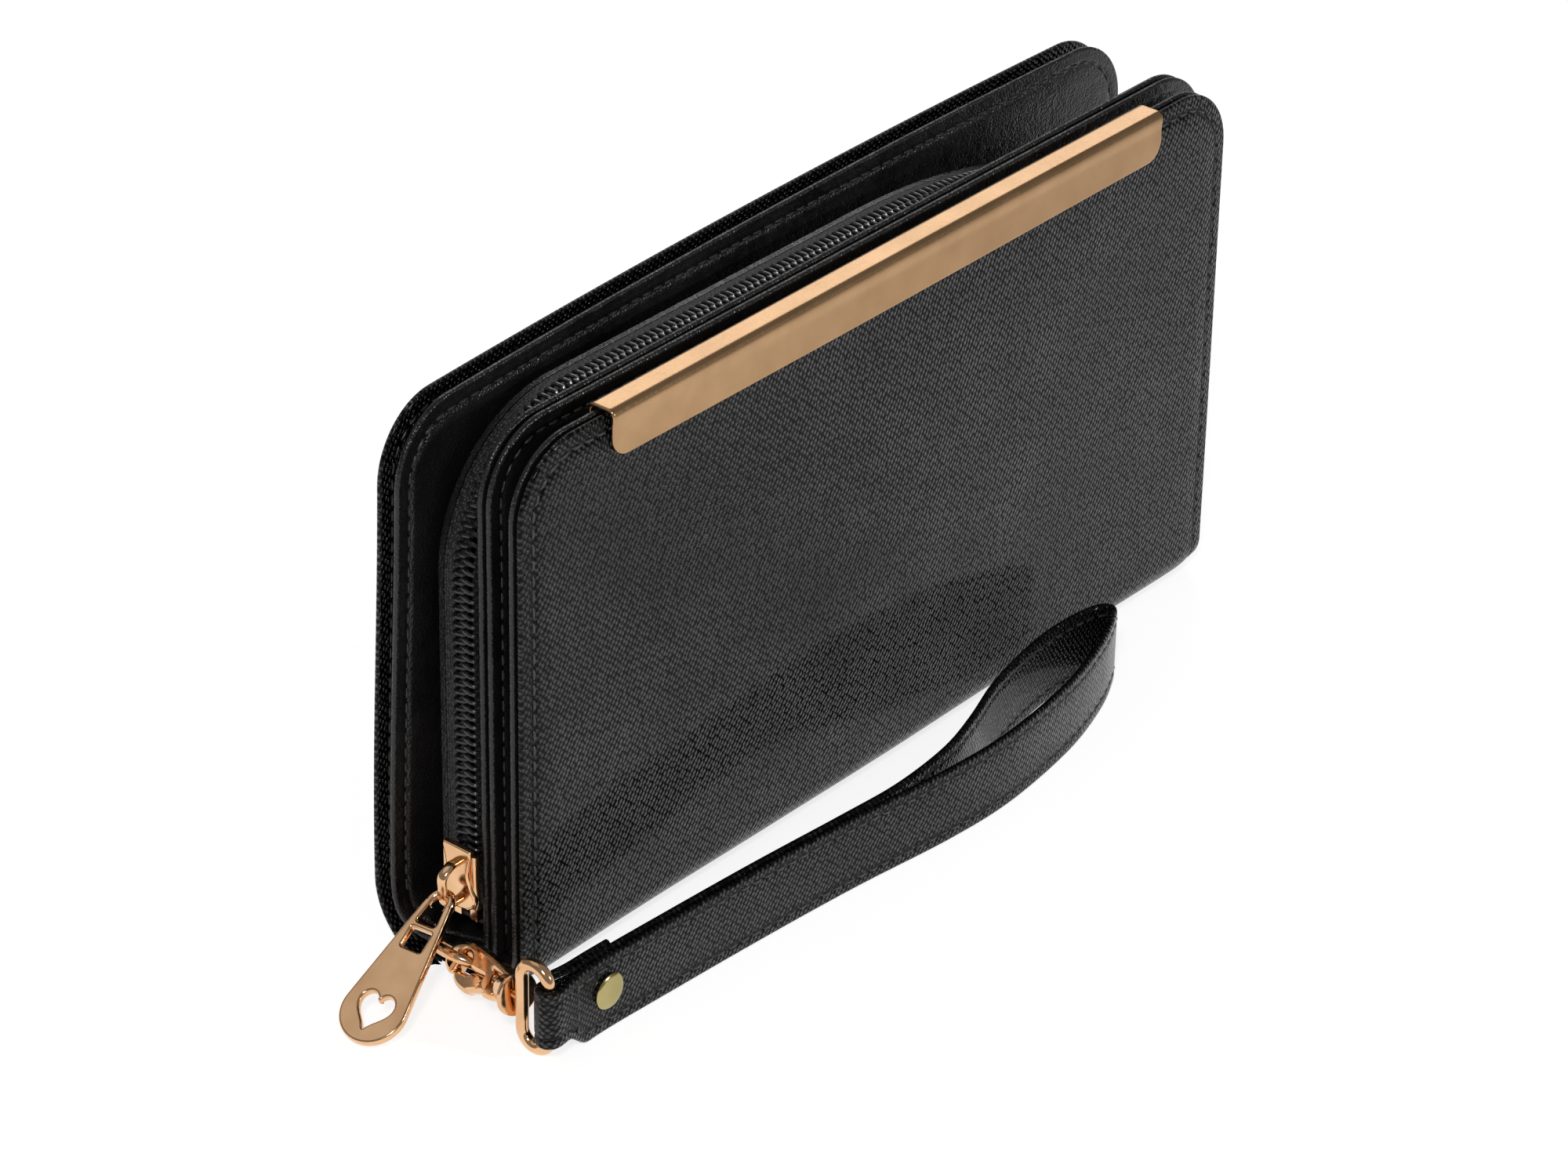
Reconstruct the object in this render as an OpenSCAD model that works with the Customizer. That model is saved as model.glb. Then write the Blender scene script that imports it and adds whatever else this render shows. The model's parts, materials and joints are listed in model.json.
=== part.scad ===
// Wristlet wallet: a double gusset wallet that stands on its spine, with a front
// cover, a middle panel that carries a zipped pouch, a back cover, and a wrist
// strap that hooks on a D ring at the left end of the spine.
// +X runs along the wallet to the right, the front cover faces -Y, +Z is up.
// The origin is on the flat underside of the spine. Millimetres.

/* [Wallet] */
// Height of the covers above the table
wallet_h = 109; // [104:1:116]
// Corner radius at the tops of the covers and panels
corner_r = 14; // [10:1:16]
// Length of the front cover
front_l = 199.5; // [196:0.5:200]
// Length of the middle panel
mid_l = 201; // [199:0.5:203]
// Length of the back cover and the spine
back_l = 207; // [205:0.5:210]

/* [Covers] */
// Thickness of one leather face
skin_t = 1.2; // [1:0.1:1.2]
// Thickness of the stiffening board between two leather faces
board_t = 1.6; // [1.2:0.1:1.6]
// Outer radius of the fold under the front cover
front_fold_r = 7; // [6.6:0.1:7]
// Outer radius of the fold under the back cover
back_fold_r = 13.5; // [13:0.1:13.5]

/* [Trim bar] */
// Length of the metal trim bar
trim_l = 155; // [120:1:160]
// Height of its front flange
trim_h = 9.6; // [7:0.2:12]
// Thickness of the trim's sheet metal
trim_t = 0.9; // [0.6:0.1:1]

/* [Zip] */
// Thickness of the zip tape
tape_t = 0.6; // [0.5:0.1:0.6]
// Height of the closed coil over the tape
coil_h = 2.2; // [1.8:0.1:2.2]
// Width of the closed coil, both halves
coil_w = 5.8; // [5:0.2:5.8]
// Height of the slider on its straight run when the zip is closed
slider_z = 19.6; // [19:0.2:22]

/* [Pull] */
// Distance from the pull's hinge to the middle of its round end
pull_l = 25; // [23:0.5:26]
// Radius of the round end
pull_end_r = 6.4; // [6:0.1:6.6]
// Radius of the head round the hinge bar
pull_head_r = 2.4; // [2.2:0.1:2.4]
// Thickness of the pull
pull_t = 1.7; // [1.4:0.1:1.8]
// Angle of the pull from vertical as it leans out on the table
pull_lean = 59; // [59:1:62]

/* [Wrist strap] */
// Width of the strap, which stands on its edge
strap_w = 15.5; // [14:0.5:15.5]
// Thickness of one strap layer
strap_t = 1.5; // [1.3:0.1:1.5]
// Radius of the rivet's heads
rivet_r = 3.5; // [3:0.1:3.6]

/* [Hidden] */
$fn = 48;

// The stack of layers from front to back, along Y
front_y0 = -16;
cover_t = 2 * skin_t + board_t;
mid_y0 = -7.5;
mid_skin_t = 1.3;
mid_board_t = 1;
mid_y1 = mid_y0 + 2 * mid_skin_t + mid_board_t;
pouch_y1 = 5.4;
back_y1 = 15;
back_y0 = back_y1 - cover_t;

// The ends of the covers and the panel, along X
front_x0 = -99.5;
mid_x0 = -98;
back_x0 = -104;
edge_in = 3;

// The spine under them
front_fold_y = front_y0 + front_fold_r;
back_fold_y = back_y1 - back_fold_r;
floor_z0 = skin_t + board_t;
floor_z1 = floor_z0 + skin_t;
pouch_z0 = 8.2;

// The zip's route in the XZ plane: up the left side, round a corner, along the
// top and down a long arc at the right. The route is the tape's outer face.
zip_x0 = -96.3;
zip_z0 = 9.4;
zip_z1 = 105.2;
zip_r = 28;
zip_arc_x = 15;
zip_arc_r = 150;
zip_x1 = 97;
zip_y = -0.7;
coil_gap = 0.12;
slider_half = 6.5;
coil_z0 = slider_z + slider_half + 0.3;

// The slider's two plates, outside the coil and inside the tape
slider_face_x = zip_x0 - coil_h - 0.6;
slider_plate_t = 1.7;
slider_top_x = slider_face_x - slider_plate_t;
bail_w = 2.4;
bail_rise = 4.3;
bail_half = 4.4;
bail_z = slider_z - 0.9;
pull_x = slider_top_x - 2.6;
pull_z = slider_z - 2.3;
pull_turn = 7;
pull_bar_r = 0.85;

// The D ring on its tab, and the snap hook from it to the strap's ring
wire_r = 1;
dring_x = -101.8;
dring_y = -4;
dring_z = 4.6;
dring_r = 6.4;
dring_lean = 35;
tab_y = -3;
tab_w = 3;

// Where the hook's eye holds the ring, as an angle from the middle of the ring's bow
hook_at = 45;
hook_eye = [
    dring_x - dring_r * cos(hook_at) * cos(dring_lean),
    dring_y - dring_r * sin(hook_at),
    dring_z + dring_r * cos(hook_at) * sin(dring_lean)
];
ring_mid = [-110.3, -28.4, 9.8];
hook_run = hook_eye - ring_mid;
hook_l = norm(hook_run);
hook_yaw = -atan2(hook_run.x, hook_run.y);
hook_pitch = asin(hook_run.z / hook_l);
hook_roll = 35;
eye_r = 2.5;
hook_wall = 1.4;
hook_t = 2.4;
slot_t = 1.9;
gate_t = 1.6;
ring_wire_r = 1.2;
ring_half_h = 8.6;
ring_half_d = 3.2;
pivot_u = hook_l - 5.2;
pivot_v = -1.7;
pin_r = 0.6;
run_gap = 0.06;

// The strap's middle line: out along the outer layer, round the end of the loop,
// and back along the inner layer. Round numbers chosen by hand.
strap_wrap_r = ring_wire_r + 0.15 + strap_t / 2;
strap_bar = [ring_mid.x, ring_mid.y - ring_half_d];
rivet_x = -97;
rivet_z = 8.6;
strap_route = [
    [-104, -32.7], [-97, -32.5], [-82, -33.3], [-58, -34.8], [-34, -36.8], [-11, -39.6],
    [7, -40.2], [28, -37.6], [43, -33.4], [52, -29.4], [56, -26.4], [52, -24],
    [39, -23.4], [21, -26.6], [7, -31.4], [-5, -34.6], [-20, -35.9], [-34, -35.1],
    [-58, -33.1], [-82, -31.6], [-97, -30.8], [-104, -30.6]
];
strap_steps = 5;

// The strap's lower edge rises to this height where it wraps the ring's straight bar
strap_end_z = 4.2;
// How far the pull's straight sides stand inside its round ends
edge_step = 0.04;

leather_c = [0.03, 0.03, 0.035];
lining_c = [0.07, 0.07, 0.075];
board_c = [0.55, 0.47, 0.36];
cloth_c = [0.05, 0.05, 0.05];
coil_c = [0.1, 0.1, 0.1];
gold_c = [0.85, 0.62, 0.4];

// ---- shared shapes ----

// Stands a drawing in the XZ plane between two places along Y
module upright(y0, y1) {
    translate([0, y1, 0])
        rotate([90, 0, 0])
            linear_extrude(y1 - y0)
                children();
}

// Runs a drawing in the YZ plane between two places along X
module along(x0, x1) {
    translate([x0, 0, 0])
        rotate([90, 0, 90])
            linear_extrude(x1 - x0)
                children();
}

// A block between two corners
module block(low, high) {
    translate(low)
        cube(high - low);
}

// A panel's outline, with round corners at the top
module panel_outline(x0, x1, z0, z1, r) {
    translate([x0, z0])
        square([x1 - x0, z1 - z0 - r]);
    translate([x0 + r, z0])
        square([x1 - x0 - 2 * r, z1 - z0]);
    for (x = [x0 + r, x1 - r])
        translate([x, z1 - r])
            circle(r);
}

// A quarter of a tube, from straight down to straight out on one side
module quarter_ring(y, z, r_out, r_in, side) {
    translate([y, z])
        intersection() {
            difference() {
                circle(r_out);
                circle(r_in);
            }
            translate([side > 0 ? 0 : -r_out - 1, -r_out - 1])
                square(r_out + 1);
        }
}

// A band along the zip's route, between two distances out from it, from a start
// height to an end along X
module zip_band(d_in, d_out, z_start, x_end) {
    corner = [zip_x0 + zip_r, zip_z1 - zip_r];
    translate([zip_x0 - d_out, z_start])
        square([d_out - d_in, corner.y - z_start]);
    translate(corner)
        intersection() {
            difference() {
                circle(zip_r + d_out);
                circle(zip_r + d_in);
            }
            translate([-zip_r - d_out - 1, 0])
                square(zip_r + d_out + 1);
        }
    translate([corner.x, zip_z1 + d_in])
        square([zip_arc_x - corner.x, d_out - d_in]);
    translate([zip_arc_x, zip_z1 - zip_arc_r])
        intersection() {
            difference() {
                circle(zip_arc_r + d_out, $fn = 96);
                circle(zip_arc_r + d_in, $fn = 96);
            }
            translate([0, zip_arc_r / 2])
                square([x_end - zip_arc_x, zip_arc_r]);
        }
}

// The area inside the zip's route
module zip_inside(z0, x_end) {
    corner = [zip_x0 + zip_r, zip_z1 - zip_r];
    translate([zip_x0, z0])
        square([zip_arc_x - zip_x0, corner.y - z0]);
    translate([corner.x, z0])
        square([zip_arc_x - corner.x, zip_z1 - z0]);
    translate(corner)
        circle(zip_r);
    intersection() {
        translate([zip_arc_x, zip_z1 - zip_arc_r])
            circle(zip_arc_r, $fn = 96);
        translate([zip_arc_x, z0])
            square([x_end - zip_arc_x, wallet_h]);
    }
}

// Height of the zip's route over a place on its last arc
function zip_height(x) = zip_z1 - zip_arc_r + sqrt(pow(zip_arc_r, 2) - pow(x - zip_arc_x, 2));

// ---- spine and folds ----

module spine_cover() {
    color(leather_c)
        block([back_x0, front_fold_y, 0], [back_x0 + back_l, back_fold_y, skin_t]);
}

module spine_board() {
    color(board_c)
        block([-92, front_fold_y + 0.5, skin_t], [back_x0 + back_l - 4, back_fold_y - 0.5, floor_z0]);
}

module front_section_floor() {
    color(lining_c)
        block([mid_x0, front_fold_y, floor_z0], [front_x0 + front_l, mid_y0, floor_z1]);
}

module back_section_floor() {
    color(lining_c)
        block([mid_x0, mid_y1, floor_z0], [mid_x0 + mid_l, back_fold_y, floor_z1]);
}

module front_fold_skin() {
    color(leather_c)
        along(front_x0, front_x0 + front_l)
            quarter_ring(front_fold_y, front_fold_r, front_fold_r, front_fold_r - skin_t, -1);
}

module front_fold_lining() {
    color(lining_c)
        along(front_x0 + 1, front_x0 + front_l - 1)
            quarter_ring(front_fold_y, front_fold_r, front_fold_r - floor_z0, front_fold_r - floor_z1, -1);
}

module back_fold_skin() {
    color(leather_c)
        along(back_x0, back_x0 + back_l)
            quarter_ring(back_fold_y, back_fold_r, back_fold_r, back_fold_r - skin_t, 1);
}

module back_fold_lining() {
    color(lining_c)
        along(dring_x + wire_r + 0.8, back_x0 + back_l - 1)
            quarter_ring(back_fold_y, back_fold_r, back_fold_r - floor_z0, back_fold_r - floor_z1, 1);
}

// ---- middle panel and pouch ----

module mid_layer(y0, y1, inset) {
    upright(y0, y1)
        panel_outline(
            mid_x0 + inset, mid_x0 + mid_l - inset, floor_z0 + inset, wallet_h - inset, corner_r - inset
        );
}

module mid_front_panel() {
    color(lining_c)
        mid_layer(mid_y0, mid_y0 + mid_skin_t, 0);
}

module mid_board() {
    color(board_c)
        mid_layer(mid_y0 + mid_skin_t, mid_y1 - mid_skin_t, edge_in);
}

module mid_back_panel() {
    color(lining_c)
        mid_layer(mid_y1 - mid_skin_t, mid_y1, 0);
}

module pouch_back_wall() {
    color(lining_c)
        upright(pouch_y1, pouch_y1 + skin_t)
            zip_inside(pouch_z0, zip_x1 + skin_t);
}

module pouch_floor() {
    color(lining_c)
        union() {
            block([zip_x0, mid_y1, pouch_z0], [zip_x1 + skin_t, pouch_y1, pouch_z0 + skin_t]);
            block([zip_x0 + tape_t, mid_y1, pouch_z0], [zip_x0 + tape_t + skin_t, pouch_y1, pouch_z0 + 4]);
        }
}

module pouch_end_gusset() {
    color(lining_c)
        block(
            [zip_x1, mid_y1, pouch_z0 + skin_t],
            [zip_x1 + skin_t, pouch_y1, zip_height(zip_x1 + skin_t) - tape_t - 0.3]
        );
}

module zip_tape_front() {
    color(cloth_c)
        upright(mid_y1, zip_y - 0.9)
            zip_band(-tape_t, 0, zip_z0, zip_x1);
}

module zip_tape_back() {
    color(cloth_c)
        upright(zip_y + 0.9, pouch_y1)
            zip_band(-tape_t, 0, zip_z0, zip_x1);
}

module coil_half(side) {
    near = zip_y + side * coil_gap / 2;
    far = zip_y + side * coil_w / 2;
    upright(min(near, far), max(near, far))
        zip_band(0, coil_h, coil_z0, zip_x1 - 6);
}

module zip_coil_front() {
    color(coil_c)
        coil_half(-1);
}

module zip_coil_back() {
    color(coil_c)
        coil_half(1);
}

module zip_top_stops() {
    color(gold_c)
        for (side = [-1, 1])
            translate([zip_x0 - coil_h, zip_y + side * 1.9 - 0.8, zip_z0 + 0.6])
                cube([coil_h, 1.6, 2.2]);
}

module zip_bottom_stop() {
    stop_x = zip_x1 - 5.6;
    color(gold_c)
        translate([stop_x, zip_y - 2.2, zip_height(stop_x) + 0.05])
            cube([2, 4.4, coil_h]);
}

module ring_tab() {
    color(leather_c)
        union() {
            upright(tab_y - tab_w / 2, tab_y + tab_w / 2)
                difference() {
                    translate([dring_x, dring_z])
                        circle(wire_r + run_gap + skin_t);
                    translate([dring_x, dring_z])
                        circle(wire_r + run_gap);
                }
            block(
                [dring_x, tab_y - tab_w / 2, dring_z - wire_r - run_gap - skin_t],
                [-92.5, tab_y + tab_w / 2, floor_z0 - 0.1]
            );
        }
}

// ---- covers ----

module front_layer(y0, y1, inset, z0) {
    upright(y0, y1)
        panel_outline(
            front_x0 + inset, front_x0 + front_l - inset, z0, wallet_h - inset, corner_r - inset
        );
}

module front_cover_outer() {
    color(leather_c)
        front_layer(front_y0, front_y0 + skin_t, 0, front_fold_r);
}

module front_cover_board() {
    color(board_c)
        front_layer(front_y0 + skin_t, front_y0 + skin_t + board_t, edge_in, front_fold_r + 1);
}

module front_cover_lining() {
    color(lining_c)
        front_layer(front_y0 + cover_t - skin_t, front_y0 + cover_t, 0, front_fold_r);
}

module trim_bar() {
    y_out = front_y0 - 0.15 - trim_t;
    y_in = front_y0 + cover_t + 0.15;
    top = wallet_h + 0.1;
    color(gold_c)
        along(-trim_l / 2, trim_l / 2)
            union() {
                translate([y_out, top + trim_t - trim_h])
                    square([trim_t, trim_h]);
                translate([y_out, top])
                    square([y_in - y_out + trim_t, trim_t]);
                translate([y_in, top + trim_t - trim_h / 2])
                    square([trim_t, trim_h / 2]);
            }
}

module back_layer(y0, y1, inset, z0) {
    upright(y0, y1)
        panel_outline(
            back_x0 + inset, back_x0 + back_l - inset, z0, wallet_h - inset, corner_r - inset
        );
}

module back_cover_outer() {
    color(leather_c)
        back_layer(back_y1 - skin_t, back_y1, 0, back_fold_r);
}

module back_cover_board() {
    color(board_c)
        back_layer(back_y0 + skin_t, back_y1 - skin_t, edge_in, back_fold_r + 1);
}

module back_cover_lining() {
    color(lining_c)
        back_layer(back_y0, back_y0 + skin_t, 0, back_fold_r);
}

// ---- slider and pull ----

// The slider: a waisted plate outside the coil with two side flanges, a post that
// passes between the tapes, and a plate inside them
module slider_body() {
    plate_w = 8.6;
    flange_y = coil_w / 2 + 0.35;
    color(gold_c)
        translate([0, zip_y, slider_z])
            union() {
                rotate([0, -90, 0])
                    translate([0, 0, -slider_face_x])
                        linear_extrude(slider_plate_t)
                            translate([-slider_half, -plate_w / 2])
                                square([2 * slider_half, plate_w]);
                for (side = [-1, 1])
                    translate([slider_face_x - 0.1, side * (flange_y + 0.4) - 0.4, -slider_half])
                        cube([coil_h - 1.2, 0.8, 2 * slider_half]);
                translate([slider_face_x - 0.1, -0.6, -1.6])
                    cube([zip_x0 + tape_t + 1.1 - slider_face_x, 1.2, 5]);
                translate([zip_x0 + tape_t + 0.3, -2.8, -slider_half])
                    cube([1.1, 5.6, 2 * slider_half]);
            }
}

// The arch on the slider that holds the pull
module slider_bail() {
    color(gold_c)
        upright(zip_y - bail_w / 2, zip_y + bail_w / 2)
            translate([slider_top_x, bail_z])
                difference() {
                    translate([-bail_rise, -bail_half])
                        square([bail_rise, 2 * bail_half]);
                    translate([0.7 - bail_rise, 0.9 - bail_half])
                        square([bail_rise, 2 * bail_half - 1.8]);
                }
}

// A heart, its point away from the hinge
module heart(a) {
    rotate(45)
        union() {
            translate([-a / 2, -a / 2])
                square(a);
            translate([-a / 2, 0])
                circle(a / 2);
            translate([0, -a / 2])
                circle(a / 2);
        }
}

// The pull in its own plane: hinge at the origin, round end along +Y
module pull_outline() {
    slope = asin((pull_end_r - pull_head_r) / pull_l);
    difference() {
        union() {
            circle(pull_head_r);
            translate([0, pull_l])
                circle(pull_end_r);
            polygon([
                for (side = [-1, 1])
                    for (end = side < 0 ? [0, 1] : [1, 0])
                        let (r = (end == 0 ? pull_head_r : pull_end_r) - edge_step)
                            [side * r * cos(slope), end * pull_l - r * sin(slope)]
            ]);
        }
        polygon([[-1.5, pull_bar_r], [1.5, pull_bar_r], [2.2, 6.9], [-2.2, 6.9]]);
        translate([-2.2, 8])
            square([4.4, 4.2]);
        translate([0, pull_l + 0.5])
            heart(4.5);
    }
}

module pull_tab() {
    color(gold_c)
        translate([pull_x, zip_y, pull_z])
            rotate([0, 0, pull_turn])
                rotate([0, pull_lean - 90, 0])
                    union() {
                        difference() {
                            rotate([0, 0, 90])
                                translate([0, 0, -pull_t / 2])
                                    linear_extrude(pull_t)
                                        pull_outline();
                            translate([-2, -1.5, -pull_t])
                                cube([2 + 2 * pull_head_r, 3, 2 * pull_t]);
                        }
                        rotate([90, 0, 0])
                            translate([0, 0, -1.8])
                                cylinder(r = pull_bar_r, h = 3.6);
                    }
}

// ---- D ring, snap hook and swivel ring ----

module d_ring() {
    color(gold_c)
        translate([dring_x, dring_y, dring_z])
            rotate([0, dring_lean, 0])
                union() {
                    intersection() {
                        rotate_extrude()
                            translate([dring_r, 0])
                                circle(wire_r);
                        translate([-2 * dring_r, -2 * dring_r, -dring_r])
                            cube([2 * dring_r, 4 * dring_r, 2 * dring_r]);
                    }
                    translate([0, -dring_r, 0])
                        rotate([-90, 0, 0])
                            cylinder(r = wire_r, h = 2 * dring_r);
                    for (side = [-1, 1])
                        translate([0, side * dring_r, 0])
                            sphere(wire_r);
                }
}

// Places a piece of the hook: its own +Y runs from the ring to the eye, and its
// own YZ plane is the hook's plane
module hook_frame() {
    translate(ring_mid)
        rotate([hook_pitch, 0, hook_yaw])
            children();
}

module hook_plane(t) {
    hook_frame()
        rotate([0, hook_roll, 0])
            translate([-t / 2, 0, 0])
                rotate([90, 0, 90])
                    linear_extrude(t)
                        children();
}

// A sector of the eye's wall
module eye_wall(a0, a1) {
    reach = 3 * eye_r;
    translate([hook_l, 0])
        intersection() {
            difference() {
                circle(eye_r + hook_wall);
                circle(eye_r);
            }
            polygon([
                [0, 0],
                for (a = [a0 : (a1 - a0) / 4 : a1 + 0.01])
                    reach * [cos(a), sin(a)]
            ]);
        }
}

gate_a0 = 205;
gate_a1 = 300;
// How far the gate reaches from its pin, just short of the hook's tip
gate_reach = norm([hook_l - pivot_u + eye_r * cos(gate_a1), eye_r * sin(gate_a1) - pivot_v]) - run_gap;
bell_u = 5.6;

module clasp_hook() {
    color(gold_c)
        difference() {
            union() {
                hook_plane(hook_t)
                    union() {
                        eye_wall(gate_a1 - 360 + 1, 85);
                        eye_wall(85, 160);
                        translate([9.6, -2.6])
                            square([hook_l - 3.4 - 9.6, 5.2]);
                    }
                hook_frame()
                    rotate([-90, 0, 0])
                        union() {
                            translate([0, 0, bell_u])
                                cylinder(r1 = 4, r2 = 3, h = 2);
                            translate([0, 0, bell_u + 1.9])
                                cylinder(r = 3, h = 2.6);
                        }
            }
            hook_plane(hook_t + 2)
                union() {
                    translate([11.2, -1.2])
                        square([2.6, 2.6]);
                    translate([hook_l, 0])
                        circle(eye_r);
                }
            hook_plane(slot_t)
                translate([pivot_u - 1.7, -3])
                    square([hook_l - pivot_u + 1.7, 2.75]);
            hook_plane(hook_t + 2)
                translate([pivot_u, pivot_v])
                    circle(pin_r);
            hook_frame()
                rotate([-90, 0, 0])
                    union() {
                        cylinder(r = 1.1 + run_gap, h = bell_u + 2.5);
                        translate([0, 0, bell_u + 1])
                            cylinder(r = 1.8 + run_gap, h = 2);
                    }
        }
}

module gate_pin() {
    color(gold_c)
        hook_plane(hook_t)
            translate([pivot_u, pivot_v])
                circle(pin_r);
}

module clasp_gate() {
    color(gold_c)
        hook_plane(gate_t)
            difference() {
                union() {
                    intersection() {
                        eye_wall(gate_a0, gate_a1 - 1);
                        translate([pivot_u, pivot_v])
                            circle(gate_reach);
                    }
                    translate([pivot_u, pivot_v])
                        circle(1.2);
                    translate([pivot_u, pivot_v - 1.2])
                        square([2.4, 1.6]);
                }
                translate([pivot_u, pivot_v])
                    circle(pin_r + run_gap);
                translate([hook_l, 0])
                    circle(eye_r);
            }
}

// The gate's return spring, in the hook's window
module gate_spring() {
    color(gold_c)
        hook_frame()
            rotate([-90, 0, 0])
                translate([0, 0, 11.3])
                    difference() {
                        cylinder(r = 0.95, h = 2.4);
                        translate([0, 0, -1])
                            cylinder(r = 0.6, h = 5);
                    }
}

// The ring that the strap folds round: an upright oval in line with the hook
module swivel_ring() {
    bar_z = ring_half_h - ring_half_d;
    color(gold_c)
        translate(ring_mid)
            union() {
                for (side = [-1, 1]) {
                    translate([0, side * ring_half_d, -bar_z])
                        cylinder(r = ring_wire_r, h = 2 * bar_z);
                    translate([0, 0, side * bar_z])
                        rotate([0, 90, 0])
                            intersection() {
                                rotate_extrude()
                                    translate([ring_half_d, 0])
                                        circle(ring_wire_r);
                                translate([side > 0 ? -20 : 0, -10, -10])
                                    cube([20, 20, 20]);
                            }
                }
            }
}

// The stud that joins the ring to the hook's bell and turns in it
module swivel_stud() {
    color(gold_c)
        hook_frame()
            rotate([-90, 0, 0])
                difference() {
                    union() {
                        translate([0, 0, ring_half_d])
                            cylinder(r = 1.1, h = bell_u + 1.1 - ring_half_d);
                        translate([0, 0, bell_u + 1.06])
                            cylinder(r = 1.8, h = 1.4);
                    }
                    rotate([90, 0, 0])
                        rotate([-hook_pitch, 0, -hook_yaw])
                            translate([0, ring_half_d, -ring_half_h])
                                cylinder(r = ring_wire_r + run_gap, h = 2 * ring_half_h);
                }
}

// ---- wrist strap ----

// A point on a smooth curve through four neighbours
function smooth(a, b, c, d, t) =
    0.5 * ((2 * b) + (c - a) * t + (2 * a - 5 * b + 4 * c - d) * t * t + (3 * b - a - 3 * c + d) * t * t * t);

// The wrap round the ring's bar, from the inner layer back to the outer one
strap_wrap = [
    for (a = [100 : 20 : 260])
        strap_bar + strap_wrap_r * [cos(a), sin(a)]
];
knots = len(strap_route);
function knot(i) = i < 0 ? strap_wrap[8] : i >= knots ? strap_wrap[0] : strap_route[i];
strap_line = concat(
    [
        for (i = [0 : knots - 2])
            for (s = [0 : strap_steps - 1])
                smooth(knot(i - 1), knot(i), knot(i + 1), knot(i + 2), s / strap_steps)
    ],
    [strap_route[knots - 1]],
    strap_wrap
);

// The closed line moved sideways by a distance
function beside(line, d) = [
    for (i = [0 : len(line) - 1])
        let (
            n = len(line),
            run = line[(i + 1) % n] - line[(i + n - 1) % n],
            unit = run / norm(run)
        )
            line[i] + d * [unit.y, -unit.x]
];

module wrist_strap() {
    color(leather_c)
        difference() {
            linear_extrude(strap_w)
                difference() {
                    polygon(beside(strap_line, strap_t / 2));
                    polygon(beside(strap_line, -strap_t / 2));
                }
            translate([rivet_x, strap_bar.y - 10, rivet_z])
                rotate([-90, 0, 0])
                    cylinder(r = 1.6, h = 20);
            translate([strap_bar.x, strap_bar.y + 10, 0])
                rotate([90, 0, 0])
                    linear_extrude(20)
                        polygon([[-10, -1], [-10, strap_end_z], [2.8, strap_end_z], [7.5, -1]]);
        }
}

module strap_rivet() {
    outer_y = -32.5 - strap_t / 2 - 0.15;
    inner_y = -30.8 + strap_t / 2 + 0.15;
    color(gold_c)
        translate([rivet_x, 0, rivet_z])
            rotate([-90, 0, 0])
                union() {
                    translate([0, 0, outer_y - 0.8])
                        cylinder(r = rivet_r, h = 0.8);
                    translate([0, 0, outer_y - 0.1])
                        cylinder(r = 1.5, h = inner_y - outer_y + 0.2);
                    translate([0, 0, inner_y])
                        cylinder(r = rivet_r, h = 0.8);
                }
}

spine_cover();
spine_board();
front_section_floor();
back_section_floor();
front_fold_skin();
front_fold_lining();
back_fold_skin();
back_fold_lining();
mid_front_panel();
mid_board();
mid_back_panel();
pouch_back_wall();
pouch_floor();
pouch_end_gusset();
zip_tape_front();
zip_tape_back();
zip_coil_front();
zip_coil_back();
zip_top_stops();
zip_bottom_stop();
ring_tab();
front_cover_outer();
front_cover_board();
front_cover_lining();
trim_bar();
back_cover_outer();
back_cover_board();
back_cover_lining();
slider_body();
slider_bail();
pull_tab();
d_ring();
clasp_hook();
gate_pin();
gate_spring();
clasp_gate();
swivel_ring();
swivel_stud();
wrist_strap();
strap_rivet();
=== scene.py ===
"""The looks of the wristlet wallet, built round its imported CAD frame."""

import bpy
import json
import math
import numpy as np
from mathutils import Matrix, Vector, noise


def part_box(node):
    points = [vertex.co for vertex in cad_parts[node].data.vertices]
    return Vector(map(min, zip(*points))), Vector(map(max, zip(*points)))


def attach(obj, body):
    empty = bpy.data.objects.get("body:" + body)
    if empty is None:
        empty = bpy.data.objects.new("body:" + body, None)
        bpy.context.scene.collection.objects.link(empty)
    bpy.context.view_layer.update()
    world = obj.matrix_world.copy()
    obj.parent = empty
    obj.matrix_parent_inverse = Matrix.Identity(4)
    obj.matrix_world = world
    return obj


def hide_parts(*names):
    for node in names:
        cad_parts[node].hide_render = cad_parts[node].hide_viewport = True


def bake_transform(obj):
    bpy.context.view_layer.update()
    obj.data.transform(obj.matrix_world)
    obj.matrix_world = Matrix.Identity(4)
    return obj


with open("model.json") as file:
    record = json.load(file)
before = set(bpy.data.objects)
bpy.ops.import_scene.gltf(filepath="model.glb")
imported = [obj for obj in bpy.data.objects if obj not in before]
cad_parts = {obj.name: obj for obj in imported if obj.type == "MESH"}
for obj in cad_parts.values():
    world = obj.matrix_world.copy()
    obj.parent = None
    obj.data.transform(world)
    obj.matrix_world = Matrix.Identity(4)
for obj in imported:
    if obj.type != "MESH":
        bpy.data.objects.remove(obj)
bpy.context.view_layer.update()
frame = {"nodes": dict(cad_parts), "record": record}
MM = 0.001
UV_PER_MM = 0.01
STITCH_IN = 3.0
JOINTS = {j["name"]: j for j in frame["record"]["behaviour"]["joints"]}


def box(node):
    """A CAD node's lowest and highest corner, in millimetres."""
    return [np.array(corner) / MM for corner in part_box(node)]


def joint(name):
    """A joint's place in millimetres, and its axis."""
    j = JOINTS[name]
    return np.array(j["pos_m"]) / MM, np.array(j["axis"], float)


def smooth(t):
    t = np.clip(t, 0.0, 1.0)
    return t * t * (3 - 2 * t)


def unit(v):
    v = np.asarray(v, float)
    return v / np.linalg.norm(v)


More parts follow.
